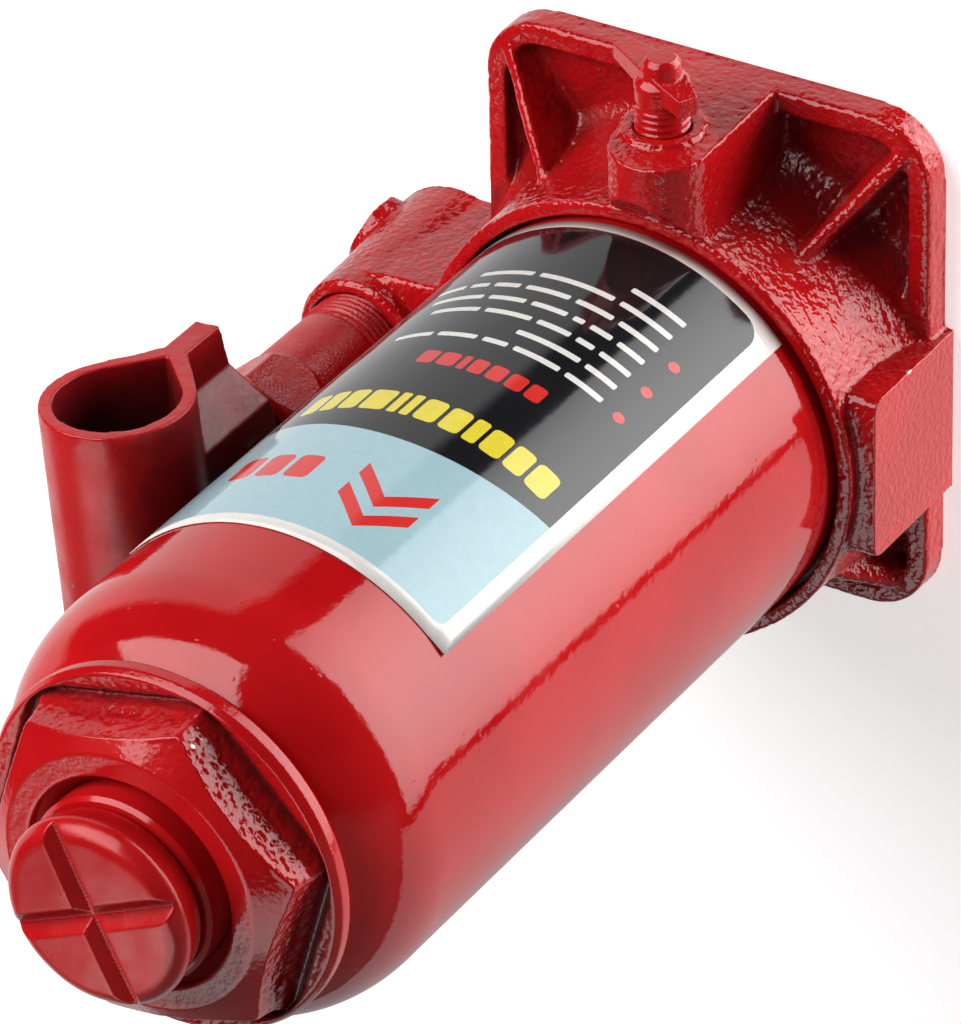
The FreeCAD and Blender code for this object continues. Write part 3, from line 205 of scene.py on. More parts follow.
def baked(obj: Solid) -> Solid:
    """Applies an object's modifiers to its mesh."""
    graph = bpy.context.evaluated_depsgraph_get()
    mesh = bpy.data.meshes.new_from_object(obj.evaluated_get(graph))
    obj.modifiers.clear()
    old = obj.data
    obj.data = mesh
    bpy.data.meshes.remove(old)
    return obj


def skin(name: str, parts: list[Solid], voxel: float, relax: int) -> Solid:
    """Grows one closed skin over overlapping solids, with soft edges like those under paint.

    Args:
        name: the piece's name.
        parts: the solids, which are used up.
        voxel: the skin's fineness in millimetres.
        relax: rounds of smoothing.

    Returns:
        The skin.
    """
    merged = bmesh.new()
    for part in parts:
        merged.from_mesh(part.data)
        bpy.data.objects.remove(part)
    mesh = bpy.data.meshes.new(name)
    merged.to_mesh(mesh)
    merged.free()
    obj = linked(name, mesh)
    remesh = obj.modifiers.new("skin", "REMESH")
    remesh.mode = "VOXEL"
    remesh.voxel_size = voxel * MM
    remesh.use_smooth_shade = True
    soften = obj.modifiers.new("soften", "SMOOTH")
    soften.factor = 0.5
    soften.iterations = relax
    return baked(obj)


def carve(obj: Solid, relief: Relief) -> Solid:
    """Moves each point of a dense mesh inward.

    Args:
        obj: the mesh object.
        relief: gives the depth in millimetres for a point and its normal.

    Returns:
        The same object.
    """
    mesh = obj.data
    count = len(mesh.vertices)
    places = np.zeros(count * 3)
    normals = np.zeros(count * 3)
    mesh.vertices.foreach_get("co", places)
    mesh.vertices.foreach_get("normal", normals)
    places, normals = places.reshape(-1, 3), normals.reshape(-1, 3)
    depths = np.array([relief(Vector(p), Vector(n)) for p, n in zip(places, normals)]) * MM
    mesh.vertices.foreach_set("co", (places - normals * depths[:, None]).ravel())
    mesh.update()
    return obj


# Finishes

class Graph:
    """Adds and wires the nodes of a shader tree."""

    def __init__(self, tree: bpy.types.NodeTree) -> None:
        """Starts with an empty tree."""
        self.tree = tree
        tree.nodes.clear()

    def node(self, kind: str, inputs: Optional[dict] = None, **settings) -> bpy.types.Node:
        """Adds a node.

        Args:
            kind: the node's type without its ShaderNode prefix.
            inputs: socket name or number to a value or to another node's output.
            settings: the node's own properties.

        Returns:
            The node.
        """
        made = self.tree.nodes.new("ShaderNode" + kind)
        for key, value in settings.items():
            setattr(made, key, value)
        for key, value in (inputs or {}).items():
            socket = made.inputs[key]
            if isinstance(value, Socket):
                self.tree.links.new(value, socket)
            else:
                socket.default_value = value
        return made

    def math(self, operation: str, *values: Value) -> Socket:
        """Adds a Math node and gives its output."""
        return self.node("Math", dict(enumerate(values)), operation=operation).outputs[0]

    def ramp(self, value: Socket, low: float, high: float, start: float = 0.0, end: float = 1.0) -> Socket:
        """Smooth step of a value from start at low to end at high."""
        return self.node("MapRange", {"Value": value, "From Min": low, "From Max": high, "To Min": start,
                                      "To Max": end}, interpolation_type="SMOOTHSTEP").outputs["Result"]

    def mix(self, factor: Socket, first: Union[Socket, tuple], second: Union[Socket, tuple]) -> Socket:
        """Mixes two colours."""
        return self.node("Mix", {0: factor, 6: first, 7: second}, data_type="RGBA").outputs[2]

    def blend(self, factor: Socket, first: Value, second: Value) -> Socket:
        """Mixes two numbers."""
        return self.node("Mix", {0: factor, 2: first, 3: second}).outputs[0]

    def stretched(self, where: Socket, scale: tuple) -> Socket:
        """Coordinates multiplied by a scale along each axis."""
        return self.node("Mapping", {"Vector": where, "Scale": scale}).outputs[0]

    def noise(self, where: Socket, size_mm: float, detail: float = 3.0, roughness: float = 0.5) -> Socket:
        """Noise of about 0.25 to 0.75 whose lumps are size_mm across."""
        return self.node("TexNoise", {"Vector": where, "Scale": 1000.0 / size_mm, "Detail": detail,
                                      "Roughness": roughness}).outputs["Fac"]

    def bump(self, height: Socket, rise_mm: float, below: Optional[Socket] = None) -> Socket:
        """Bumps a surface by up to rise_mm.

        Args:
            height: the relief, from 0 to 1.
            rise_mm: how high a relief of 1 stands.
            below: the normal that it is laid over, or None for the mesh's own.

        Returns:
            The bumped normal.
        """
        inputs = {"Height": height, "Distance": rise_mm * MM, "Strength": 1.0}
        if below is not None:
            inputs["Normal"] = below
        return self.node("Bump", inputs).outputs["Normal"]

    def surface(self, tint: Socket, rough: Socket, normal: Socket, metal: Value = 0.0) -> Socket:
        """Adds the surface shader and gives its output."""
        return self.node("BsdfPrincipled", {"Base Color": tint, "Roughness": rough, "Normal": normal,
                                            "Metallic": metal, "IOR": 1.5}).outputs[0]


def colour(red: float, green: float, blue: float) -> tuple[float, float, float, float]:
    """An opaque linear colour."""
    return (red, green, blue, 1.0)


@dataclass(frozen=True)
class Finish:
    """A surface's finish, made into one material the first time it is asked for."""

    name: str

    def material(self) -> bpy.types.Material:
        """The finish's material."""
        found = bpy.data.materials.get("finish_" + self.name)
        if found:
            return found
        made = bpy.data.materials.new("finish_" + self.name)
        made.use_nodes = True
        graph = Graph(made.node_tree)
        where = graph.node("TexCoord").outputs["Object"]
        graph.node("OutputMaterial", {"Surface": self.shader(graph, where)})
        return made

    def shader(self, graph: Graph, where: Socket) -> Socket:
        """Builds the surface shader on object coordinates."""
        raise NotImplementedError


class Painted(Enum):
    """Where the spray reached: everywhere, or past a limit along an axis, with the sign of that way."""

    ALL = ("", 0.0)
    ABOVE = ("Z", 1.0)
    FRONT = ("Y", -1.0)


@dataclass(frozen=True)
class Paint(Finish):
    """Sprayed crimson gloss over cast iron or smooth steel, painted shade and some dirt in hollows, a few
    worn edges.
    """

    tone: Tone = (0.52, 0.008, 0.010)
    deep: Tone = (0.44, 0.005, 0.007)
    # Painted shade with some dirt for the hollows: its colour, roughness, strength and ambient-occlusion
    # reach
    soil_and_shade: Tone = (0.022, 0.004, 0.005)
    soil_and_shade_roughness: float = 0.42
    steel: Tone = (0.46, 0.45, 0.44)
    dark_steel: Tone = (0.30, 0.285, 0.27)
    roughness: float = 0.09
    peel_mm: float = 2.6
    peel_rise: float = 0.022
    grain_mm: float = 1.1
    grain_rise: float = 0.0
    grain_detail: float = 1.0
    specks: float = 0.02
    speck_mm: float = 5.0
    dirt_and_shade: float = 0.8
    shelter_mm: float = 10.0
    alone: bool = True
    wear: float = 0.0
    reach: Painted = Painted.ALL
    limit_mm: float = 0.0
    ragged_mm: float = 4.0

    def coat(self, graph: Graph, where: Socket) -> tuple[Socket, Socket]:
        """Gives the paint's cloudy colour and its roughness, both darker and duller in the hollows from
        painted shade and some dirt.
        """
        cloud = graph.ramp(graph.noise(where, 34, 3), 0.35, 0.65)
        tint = graph.mix(cloud, colour(*self.deep), colour(*self.tone))
        rough = graph.ramp(graph.noise(where, 9, 4), 0.3, 0.7, self.roughness * 0.8, self.roughness * 1.5)
        # Painted shade: ambient occlusion, mottled by noise for a little dirt, darkens and dulls the hollows
        if self.dirt_and_shade:
            shelter = graph.node("AmbientOcclusion", {"Distance": self.shelter_mm * MM}, samples=4,
                                 only_local=self.alone).outputs["AO"]
            blotch = graph.math("MULTIPLY_ADD", graph.noise(where, 4, 4, 0.6), 0.4, shelter)
            shade_and_dirt = graph.ramp(blotch, 0.55, 1.1, self.dirt_and_shade, 0.0)
            tint = graph.mix(shade_and_dirt, tint, colour(*self.soil_and_shade))
            rough = graph.blend(shade_and_dirt, rough, self.soil_and_shade_roughness)
        return tint, rough

    def texture(self, graph: Graph, where: Socket) -> Socket:
        """Gives the normal of the orange peel with the casting's grain and dust specks laid over it."""
        normal = graph.bump(graph.noise(where, self.peel_mm, 2, 0.45), self.peel_rise * 2)
        if self.grain_rise:
            lumps = graph.noise(where, self.grain_mm, self.grain_detail, 0.5)
            normal = graph.bump(lumps, self.grain_rise * 2, normal)
        if self.specks:
            dust = graph.node("TexVoronoi", {"Vector": where, "Scale": 1000 / self.speck_mm})
            speck = graph.ramp(dust.outputs["Distance"], 0.05, 0.11, 1.0, 0.0)
            normal = graph.bump(speck, self.specks, normal)
        return normal

    def bare(self, graph: Graph, where: Socket) -> Optional[Socket]:
        """Gives where the steel is bare, at chipped edges and past the spray's ragged end, or None."""
        found = None
        if self.wear:
            edge = graph.ramp(graph.node("NewGeometry").outputs["Pointiness"], 0.535, 0.58)
            patch = graph.ramp(graph.noise(where, 6, 5, 0.7), 0.62 - self.wear, 0.66 - self.wear)
            found = graph.math("MULTIPLY", edge, patch)
        if self.reach is not Painted.ALL:
            axis, sign = self.reach.value
            along = graph.node("SeparateXYZ", {0: where}).outputs[axis]
            past = graph.math("MULTIPLY_ADD", along, sign, (-self.limit_mm - self.ragged_mm / 2) * MM)
            ragged = graph.math("MULTIPLY_ADD", graph.noise(where, 3.5, 4), self.ragged_mm * MM, past)
            short = graph.ramp(ragged, -0.5 * MM, 0.5 * MM, 1.0, 0.0)
            found = short if found is None else graph.math("MAXIMUM", found, short)
        return found

    def shader(self, graph: Graph, where: Socket) -> Socket:
        """Builds the gloss paint, with streaked steel where it is bare."""
        tint, rough = self.coat(graph, where)
        normal = self.texture(graph, where)
        metal = self.bare(graph, where)
        if metal is None:
            return graph.surface(tint, rough, normal)
        streak = graph.noise(graph.stretched(where, (1, 1, 14)), 7, 4)
        steel = graph.mix(graph.ramp(streak, 0.3, 0.7), colour(*self.dark_steel), colour(*self.steel))
        tint = graph.mix(metal, tint, steel)
        rough = graph.blend(metal, rough, graph.ramp(streak, 0.3, 0.7, 0.26, 0.34))
        return graph.surface(tint, rough, normal, metal)


@dataclass(frozen=True)
class Steel(Finish):
    """Oiled machined steel with turning marks along one axis."""

    tone: Tone = (0.5, 0.5, 0.51)
    roughness: float = 0.24

    def shader(self, graph: Graph, where: Socket) -> Socket:
        """Builds metal with fine rings, cloudy tone and a film of oil."""
        rings = graph.noise(graph.stretched(where, (0.1, 0.1, 8)), 2.5, 5, 0.65)
        cloud = graph.ramp(graph.noise(where, 11, 4), 0.35, 0.7)
        tint = graph.mix(cloud, colour(*(0.55 * c for c in self.tone)), colour(*self.tone))
        rough = graph.ramp(cloud, 0.0, 1.0, self.roughness * 1.5, self.roughness * 0.8)
        return graph.surface(tint, rough, graph.bump(rings, 0.012), 1.0)


@dataclass(frozen=True)
class Rubber(Finish):
    """Moulded rubber, black unless another tone is given."""

    tone: Tone = (0.018, 0.018, 0.019)
    bloom: Tone = (0.045, 0.044, 0.043)

    def shader(self, graph: Graph, where: Socket) -> Socket:
        """Builds dull rubber with a fine mould texture and a dusty bloom."""
        bloom = graph.ramp(graph.noise(where, 5, 4), 0.45, 0.75)
        tint = graph.mix(bloom, colour(*self.tone), colour(*self.bloom))
        rough = graph.ramp(bloom, 0.0, 1.0, 0.42, 0.62)
        return graph.surface(tint, rough, graph.bump(graph.noise(where, 0.6, 4), 0.02))


@dataclass(frozen=True)
class Copper(Finish):
    """Soft copper of the sealing washers, dulled and faintly scratched."""

    tone: Tone = (0.72, 0.36, 0.22)
    oxide: Tone = (0.38, 0.15, 0.08)

    def shader(self, graph: Graph, where: Socket) -> Socket:
        """Builds copper with darker oxide clouds."""
        cloud = graph.ramp(graph.noise(where, 6, 5), 0.35, 0.7)
        tint = graph.mix(cloud, colour(*self.oxide), colour(*self.tone))
        rough = graph.ramp(cloud, 0.0, 1.0, 0.45, 0.28)
        return graph.surface(tint, rough, graph.bump(graph.noise(where, 1.5, 5), 0.01), 1.0)


@dataclass(frozen=True)
class Ink(Finish):
    """Printed film under a clear glossy laminate."""

    tone: Tone = (0.8, 0.78, 0.75)
    shade: float = 0.93

    def shader(self, graph: Graph, where: Socket) -> Socket:
        """Builds the print with faint mottling and the laminate's slight ripple."""
        mottle = graph.ramp(graph.noise(where, 2.2, 5, 0.7), 0.3, 0.7)
        tint = graph.mix(mottle, colour(*(self.shade * c for c in self.tone)), colour(*self.tone))
        ripple = graph.bump(graph.noise(where, 8, 2), 0.02)
        normal = graph.bump(graph.noise(where, 0.9, 3), 0.003, ripple)
        return graph.surface(tint, graph.ramp(mottle, 0.0, 1.0, 0.07, 0.1), normal)


# Each finish's hollows are darkened by painted shade with some dirt, strongest on the nut and the socket
GLOSS = Paint("gloss_paint")
TANK_GLOSS = Paint("tank_gloss", peel_mm=2.2, peel_rise=0.018, roughness=0.06, dirt_and_shade=0.0)
CAST = Paint("cast_paint", peel_mm=3.2, peel_rise=0.05, grain_mm=1.35, grain_rise=0.16, roughness=0.075,
             wear=0.04, shelter_mm=16.0)
NUT_PAINT = Paint("nut_paint", peel_mm=2.8, peel_rise=0.03, grain_mm=0.8, grain_rise=0.015, roughness=0.11,
                  wear=0.02, dirt_and_shade=0.9, shelter_mm=7.0)
# Painted shadow: the socket's occlusion reaches 32 mm and counts the tank, so the tank's shade and the tube's
# dark inside (part oxide, part painted shade) are painted on
SOCKET_PAINT = Paint("socket_paint", peel_mm=3.0, peel_rise=0.02, roughness=0.26, wear=0.06, dirt_and_shade=0.95,
                     shelter_mm=32.0, alone=False)
BARREL_PAINT = Paint("barrel_paint", peel_rise=0.02, roughness=0.27, grain_mm=0.6, grain_rise=0.08,
                     grain_detail=3.0)
PIN_PAINT = Paint("pin_paint", peel_rise=0.015, wear=0.1)
RAM_STEEL = Paint("ram_steel", reach=Painted.ABOVE, limit_mm=212.0)
SCREW_STEEL = Paint("screw_steel", reach=Painted.ABOVE, limit_mm=219.0, peel_rise=0.012, roughness=0.2,
                    shelter_mm=5.0)
PLUNGER_STEEL = Paint("plunger_steel", reach=Painted.ABOVE, limit_mm=80.5)
VALVE_STEEL = Paint("valve_steel", reach=Painted.FRONT, limit_mm=62.0, peel_rise=0.02, grain_mm=0.7,
                    grain_rise=0.03, shelter_mm=4.0)
STEEL = Steel("machined_steel")
SPRING_STEEL = Steel("spring_steel", tone=(0.34, 0.34, 0.35), roughness=0.3)
RUBBER = Rubber("rubber")
WIPER = Rubber("painted_wiper", tone=(0.4, 0.007, 0.009), bloom=(0.34, 0.01, 0.012))
COPPER = Copper("copper")


def dress(obj: Solid, *finishes: Finish) -> Solid:
    """Gives a piece its finishes, one material slot each."""
    obj.data.materials.clear()
    for finish in finishes:
        obj.data.materials.append(finish.material())
    return obj


def stand_for(obj: Solid, node: str) -> None:
    """Puts a piece in a CAD node's place, on the node's body.

    Args:
        obj: the dressed piece.
        node: the CAD node that it replaces.
    """
    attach(obj, frame["nodes"][node]["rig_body"])
    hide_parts(node)
    LOG.info("%s stands for %s with %d faces", obj.name, node, len(obj.data.polygons))


def pump_place() -> Matrix:
    """The pump's own frame: its axis and the linkage's slight outward turn."""
    return Matrix.Translation(Vector(PUMP_FOOT) * MM) @ Matrix.Rotation(math.radians(PUMP_TURN), 4, "Z")


def valve_place() -> Matrix:
    """The release valve's own frame, whose Z axis points out of the base, to -Y."""
    return Matrix.Translation(Vector(VALVE_AXIS) * MM) @ Matrix.Rotation(math.radians(90), 4, "X")


@dataclass(frozen=True)
class Texture:
    """A cast or forged skin, in millimetres: soft lumps, and sharper grit on them."""

    lump_mm: float
    lump_depth: float
    grit_mm: float = 1.0
    grit_depth: float = 0.0
    octaves: int = 3

    def depth(self, point: Vector, grit: float = 1.0) -> float:
        """How deep a point lies, with a share of the grit."""
        return (self.lump_depth * (0.5 + 0.5 * grain(point, self.lump_mm, 2))
                + self.grit_depth * max(0.0, grain(point, self.grit_mm, self.octaves)) * grit)


# Sub-assemblies

@dataclass
class BaseCasting:
    """Foot plate, collar and bosses as one painted sand casting."""

    voxel: float = 0.5
    relax: int = 7
    texture: Texture = Texture(7.0, 0.35, 1.8, 0.3)
    patch_mm: float = 9.0
    foot_clear: float = 0.5
    pad_face: float = -53.6
    pad_texture: float = 0.15
    bore_radius: float = 47.6
    bore_floor: float = 14.0
    boss_top: float = 40.0
    boss_texture: float = 0.4
    collar_radius: float = 50.5
    collar_top: float = 36.4
    collar_edge: float = 1.2
    crown_top: float = 45.5
    crown_radius: float = 59.0
    crown_half: float = 26.0
    crown_curve: float = 0.75
    fill: tuple = ((5.7, 63.0), (8.6, 63.0), (8.6, 67.8), (5.7, 67.8))
    rib_start: float = 47.5
    rib_bottom: float = 2.0
    rib_top: float = 21.6
    rib_foot: float = 7.6
    rib_width: float = 2.6
    rib_spread: float = 7.6
    rib_ends: tuple = ((46.7, -61.8), (46.7, 41.6), (-46.7, -61.8), (-46.7, 41.6))

    def ribs(self) -> list[Solid]:
        """Drafted ribs from the plate's corners up to the collar."""
        made = []
        faces = [[0, 1, 2, 3], [7, 6, 5, 4], [0, 4, 5, 1], [1, 5, 6, 2], [2, 6, 7, 3], [3, 7, 4, 0]]
        foot, crest, low = self.rib_spread / 2, self.rib_width / 2, self.rib_bottom
        for x, y in self.rib_ends:
            turn = Matrix.Rotation(math.atan2(y, x), 4, "Z")
            verts = []
            for along, top in ((self.rib_start, self.rib_top), (math.hypot(x, y), self.rib_foot)):
                for across, z in ((-foot, low), (-crest, top), (crest, top), (foot, low)):
                    verts.append(turn @ (Vector((along, across, z)) * MM))
            made.append(piece("rib", verts, faces))
        return made

    def thread_fillet(self) -> Solid:
        """Paint and iron that fill the countersink round the release valve's thread."""
        return lathe("thread_fillet", list(self.fill), 64, valve_place())

    def lower_crown(self, body: Solid) -> None:
        """Lets the valve boss's crown run down to the collar's top edge in a round casting fillet."""
        rim = self.collar_radius - self.collar_edge
        for vertex in body.data.vertices:
            x, y, z = vertex.co / MM
            if y > 0 or z < self.collar_top - self.collar_edge - 0.2 or abs(x) > self.crown_half:
                continue
            radius = math.hypot(x, y)
            cap = self.collar_top
            if radius > rim:
                fall = min(1.0, (radius - rim) / self.collar_edge)
                cap -= self.collar_edge * (1 - math.sqrt(1 - fall * fall))
            if radius > self.collar_radius:
                share = (radius - self.collar_radius) / (self.crown_radius - self.collar_radius)
                cap += (self.crown_top - cap) * min(1.0, share) ** self.crown_curve
            vertex.co.z = min(z, cap) * MM

    def relief(self, point: Vector, normal: Vector) -> float:
        """Depth of the casting's texture: none on bores and the foot, little on machined faces."""
        x, y, z = point / MM
        if z < self.foot_clear or (math.hypot(x, y) < self.bore_radius and z > self.bore_floor):
            return 0.0
        rough = 1.0
        if x < self.pad_face and normal.x < -0.8:
            rough = self.pad_texture
        if z > self.boss_top and normal.z > 0.8:
            rough = self.boss_texture
        return rough * self.texture.depth(point, ramp(-0.6, 0.3, grain(point, self.patch_mm, 2)))

    def build(self) -> None:
        """Skins the casting with its ribs and textures it."""
        parts = [copy_of("base"), self.thread_fillet()] + self.ribs()
        body = skin("base_casting", parts, self.voxel, self.relax)
        self.lower_crown(body)
        stand_for(dress(carve(body, self.relief), CAST), "base")


@dataclass
class Tank:
    """Drawn tank with its rounded shoulder."""

    radius: float = 46.15
    wall: float = 2.5
    foot: float = 29.5
    shoulder_start: float = 182.0
    shoulder_end: float = 203.4
    end_radius: float = 37.6
    mouth: float = 33.2
    fullness: float = 1.12
    sharp_from: float = 35.0
    steps: int = 288
    rows: int = 24
    inner_rows: int = 12

    def shoulder(self, radius: float, fall: float, count: int) -> list[Pair]:
        """Points of the rounded shoulder for a wall at one radius.

        Args:
            radius: the wall's radius.
            fall: how much lower than the outer shoulder it ends.
            count: its number of rows.

        Returns:
            (radius, height) points from the wall up to the shoulder's end.
        """
        height = (self.shoulder_end - self.shoulder_start) * self.fullness
        top = math.sqrt(1 - 1 / self.fullness ** 2)
        depth = (self.radius - self.end_radius) / (1 - top)
        points = []
        for k in range(count + 1):
            t = k / count / self.fullness
            points.append((radius - depth * (1 - math.sqrt(1 - t * t)),
                           self.shoulder_start + height * t - fall * k / count))
        return points

    def build(self) -> None:
        """Turns the tank."""
        inner = self.radius - self.wall
        wall_height = self.shoulder_start - self.foot
        profile = [(inner, self.foot)]
        profile += [(self.radius, self.foot + wall_height * k / self.rows) for k in range(self.rows)]
        profile += self.shoulder(self.radius, 0, self.rows)
        profile += [(self.mouth, self.shoulder_end), (self.mouth, self.shoulder_end - self.wall)]
        profile += self.shoulder(inner, self.wall, self.inner_rows)[::-1]
        body = lathe("tank_shell", profile, self.steps)
        body.data.set_sharp_from_angle(angle=math.radians(self.sharp_from))
        stand_for(dress(body, TANK_GLOSS), "reservoir_tube")


class Tint(IntEnum):
    """The label's inks, numbered as its material slots."""

    WHITE = 0
    BLACK = 1
    BLUE = 2
    YELLOW = 3
    RED = 4


INKS = (Ink("ink_white", tone=(0.80, 0.77, 0.73)), Ink("ink_black", tone=(0.012, 0.012, 0.014)),
        Ink("ink_blue", tone=(0.38, 0.56, 0.62)), Ink("ink_yellow", tone=(0.80, 0.66, 0.05)),
        Ink("ink_red", tone=(0.70, 0.035, 0.03)))


@dataclass(frozen=True)
class Shape:
    """One printed shape of the label: a closed outline in (arc, height) millimetres and its ink."""

    outline: list[Pair]
    ink: Tint


def rounded(left: float, low: float, right: float, high: float, radii: tuple = (0.0, 0.0, 0.0, 0.0),
            steps: int = 6) -> list[Pair]:
    """Outline of a rectangle with rounded corners.

    Args:
        left, low, right, high: its sides.
        radii: of the corners left low, right low, right high and left high, 0 for a plain one.
        steps: how many steps a rounded corner has.

    Returns:
        The outline's points, from the left low corner on.
    """
    corners = [(left, low, 1, 1), (right, low, -1, 1), (right, high, -1, -1), (left, high, 1, -1)]
    points = []
    for (x, y, sx, sy), start, radius in zip(corners, (180, 270, 0, 90), radii):
        if radius <= 0:
            points.append((x, y))
            continue
        for k in range(steps + 1):
            a = math.radians(start + 90 * k / steps)
            points.append((x + sx * radius + radius * math.cos(a), y + sy * radius + radius * math.sin(a)))
    return points


def refined(outline: list[Pair], step: float) -> list[Pair]:
    """Adds points to a closed outline so that none of its edges runs further across than step."""
    points = []
    for (x0, y0), (x1, y1) in zip(outline, outline[1:] + outline[:1]):
        parts = max(1, math.ceil(abs(x1 - x0) / step))
        points += [(x0 + (x1 - x0) * k / parts, y0 + (y1 - y0) * k / parts) for k in range(parts)]
    return points


def inside(outline: list[Pair], point: Vector) -> bool:
    """Whether a point lies inside a closed outline."""
    x, y = point.x, point.y
    hit = False
    for (x0, y0), (x1, y1) in zip(outline, outline[1:] + outline[:1]):
        if (y0 > y) != (y1 > y) and x < x0 + (y - y0) * (x1 - x0) / (y1 - y0):
            hit = not hit
    return hit


@dataclass(frozen=True)
class Words:
    """Plain rounded bars that stand for a line of text."""

    low: float
    left: float
    tall: float
    gap: float
    ink: Tint
    widths: tuple

    def shapes(self) -> list[Shape]:
        """The bars, from left to right."""
        made, left = [], self.left
        for width in self.widths:
            r = min(self.tall, width) * 0.25
            bar = rounded(left, self.low, left + width, self.low + self.tall, (r, r, r, r), 3)
            made.append(Shape(bar, self.ink))
            left += width + self.gap
        return made


@dataclass
class Label:
    """Printed film round the tank's front: two panels, a title bar of plain blocks, lines and marks."""

    radius: float = 46.45
    start: float = -139.5
    end: float = -40.5
    low: float = 37.0
    high: float = 164.0
    thick: float = 0.18
    lifted: float = 0.35
    lifted_reach: float = 6.0
    cell: float = 1.6
    side: float = 4.2
    split: float = 121.0
    arch_rise: float = 4.5
    arch_steps: int = 24
    panel_low: float = 39.8
    panel_corner: float = 5.0
    panel_high: float = 160.5
    panel_top_corner: float = 2.5
    title: tuple = (Words(110.2, 9.0, 7.6, 0.9, Tint.YELLOW, (5.5, 4.5, 4.8, 3.0, 4.6, 4.8, 2.0, 2.0, 4.2)),
                    Words(110.2, 49.5, 7.6, 0.8, Tint.YELLOW, (3.6, 4.4, 4.0, 4.4)),
                    Words(93.4, 23.8, 5.0, 0.8, Tint.RED, (3.6, 3.8, 3.6, 3.2, 1.6, 4.0, 3.8)))
    figures: Words = Words(137.0, 47.0, 8.6, 1.2, Tint.RED, (5.6, 5.8, 5.8))
    line_low: float = 85.6
    line_step: float = 5.3
    line_left: float = 15.6
    line_tall: float = 1.6
    line_gap: float = 1.5
    lines: tuple = ((9.0, 10.5, 5.5, 9.0, 9.5), (7.5, 14.5), (7.5, 4.0, 7.5, 10.5, 12.0),
                    (6.5, 5.0, 2.5, 8.0, 8.5, 13.0), (9.5, 8.5, 10.0, 6.0, 4.5, 7.5), (12.5, 17.0, 13.0),
                    (13.0,))
    dotted_lines: tuple = (0, 2, 4)
    dot_left: float = 11.0
    dot_rise: float = 1.0
    dot_radius: float = 1.35
    dot_steps: int = 14
    chevron_bases: tuple = (135.5, 143.0)
    chevron_left: float = 22.5
    chevron_half: float = 8.0
    chevron_rise: float = 7.5
    chevron_thick: float = 4.0

    def length(self) -> float:
        """The label's width along the tank."""
        return math.radians(self.end - self.start) * self.radius

    def panels(self) -> list[Shape]:
        """The dark panel and the pale one above it, which meet in an arch."""
        right, last = self.length() - self.side, self.arch_steps
        arch = [(self.side + (right - self.side) * k / last, self.split + self.arch_rise * math.sin(
            math.pi * k / last)) for k in range(last + 1)]
        low, high = self.panel_corner, self.panel_top_corner
        lower = rounded(self.side, self.panel_low, right, self.split, (low, low, 0, 0))[:-2]
        upper = rounded(self.side, self.split, right, self.panel_high, (0, 0, high, high))[2:]
        return [Shape(lower + arch[::-1], Tint.BLACK), Shape(arch + upper, Tint.BLUE)]

    def line(self, number: int, widths: tuple) -> list[Shape]:
        """A line of small bars, with a dot before it where a paragraph starts."""
        low = self.line_low - self.line_step * number
        made = Words(low, self.line_left, self.line_tall, self.line_gap, Tint.WHITE, widths).shapes()
        if number in self.dotted_lines:
            dot = []
            for k in range(self.dot_steps):
                a = 2 * math.pi * k / self.dot_steps
                dot.append((self.dot_left + self.dot_radius * math.cos(a),
                            low + self.dot_rise + self.dot_radius * math.sin(a)))
            made.append(Shape(dot, Tint.RED))
        return made

    def chevron(self, base: float) -> Shape:
        """A plain mark that points up."""
        left, middle, right = (self.chevron_left + self.chevron_half * k for k in range(3))
        crest, top = base + self.chevron_rise, base + self.chevron_thick
        return Shape([(left, base), (middle, crest), (right, base), (right, top),
                      (middle, crest + self.chevron_thick), (left, top)], Tint.RED)

    def shapes(self) -> list[Shape]:
        """Everything printed, from the back to the front."""
        found = self.panels()
        for words in self.title:
            found += words.shapes()
        for number, widths in enumerate(self.lines):
            found += self.line(number, widths)
        found += [self.chevron(base) for base in self.chevron_bases]
        return found + self.figures.shapes()

    def cut(self, outlines: list[Shape]) -> tuple[list[Vector], list[list[int]], list[int]]:
        """Divides the flat film along every outline.

        Args:
            outlines: the film's own outline and then the printed ones, from the back to the front.

        Returns:
            The film's flat points, its faces and each face's ink.
        """
        points, edges = [], []
        for shape in outlines:
            fine = refined(shape.outline, self.cell)
            first, count = len(points), len(fine)
            points += [Vector(p) for p in fine]
            edges += [(first + k, first + (k + 1) % count) for k in range(count)]
        wide, tall = self.length(), self.high - self.low
        across, up = int(wide / self.cell), int(tall / self.cell / 3)
        points += [Vector((wide * i / across, self.low + tall * j / up))
                   for i in range(1, across) for j in range(up + 1)]
        verts, _, faces, *_ = geometry.delaunay_2d_cdt(points, edges, [], 0, 1e-5)
        kept, inks = [], []
        for corners in faces:
            middle = sum((verts[c] for c in corners), Vector((0, 0))) / len(corners)
            if inside(outlines[0].outline, middle):
                kept.append(list(corners))
                inks.append(next(s.ink for s in reversed(outlines) if inside(s.outline, middle)))
        return verts, kept, inks

    def wrapped(self, flat: Vector) -> Vector:
        """Lays a flat point on the tank, a little proud at the film's lifted corner."""
        lift = self.lifted * ramp(self.lifted_reach, 0, math.hypot(flat.x, self.high - flat.y))
        return around(self.radius + lift, math.radians(self.start) + flat.x / self.radius, flat.y)

    def build(self) -> None:
        """Cuts the film along its print, wraps it round the tank and gives it thickness."""
        outlines = [Shape(rounded(0, self.low, self.length(), self.high), Tint.WHITE)] + self.shapes()
        verts, faces, inks = self.cut(outlines)
        film = piece("label_film_print", [self.wrapped(flat) for flat in verts], faces)
        if sum(p.normal.dot(p.center.xy.to_3d()) for p in film.data.polygons) < 0:
            film.data.flip_normals()
        dress(film, *INKS)
        film.data.polygons.foreach_set("material_index", inks)
        thicken = film.modifiers.new("thickness", "SOLIDIFY")
        thicken.thickness = self.thick * MM
        thicken.offset = -1.0
        thicken.material_offset = -len(INKS)
        thicken.material_offset_rim = -len(INKS)
        stand_for(baked(film), "label")


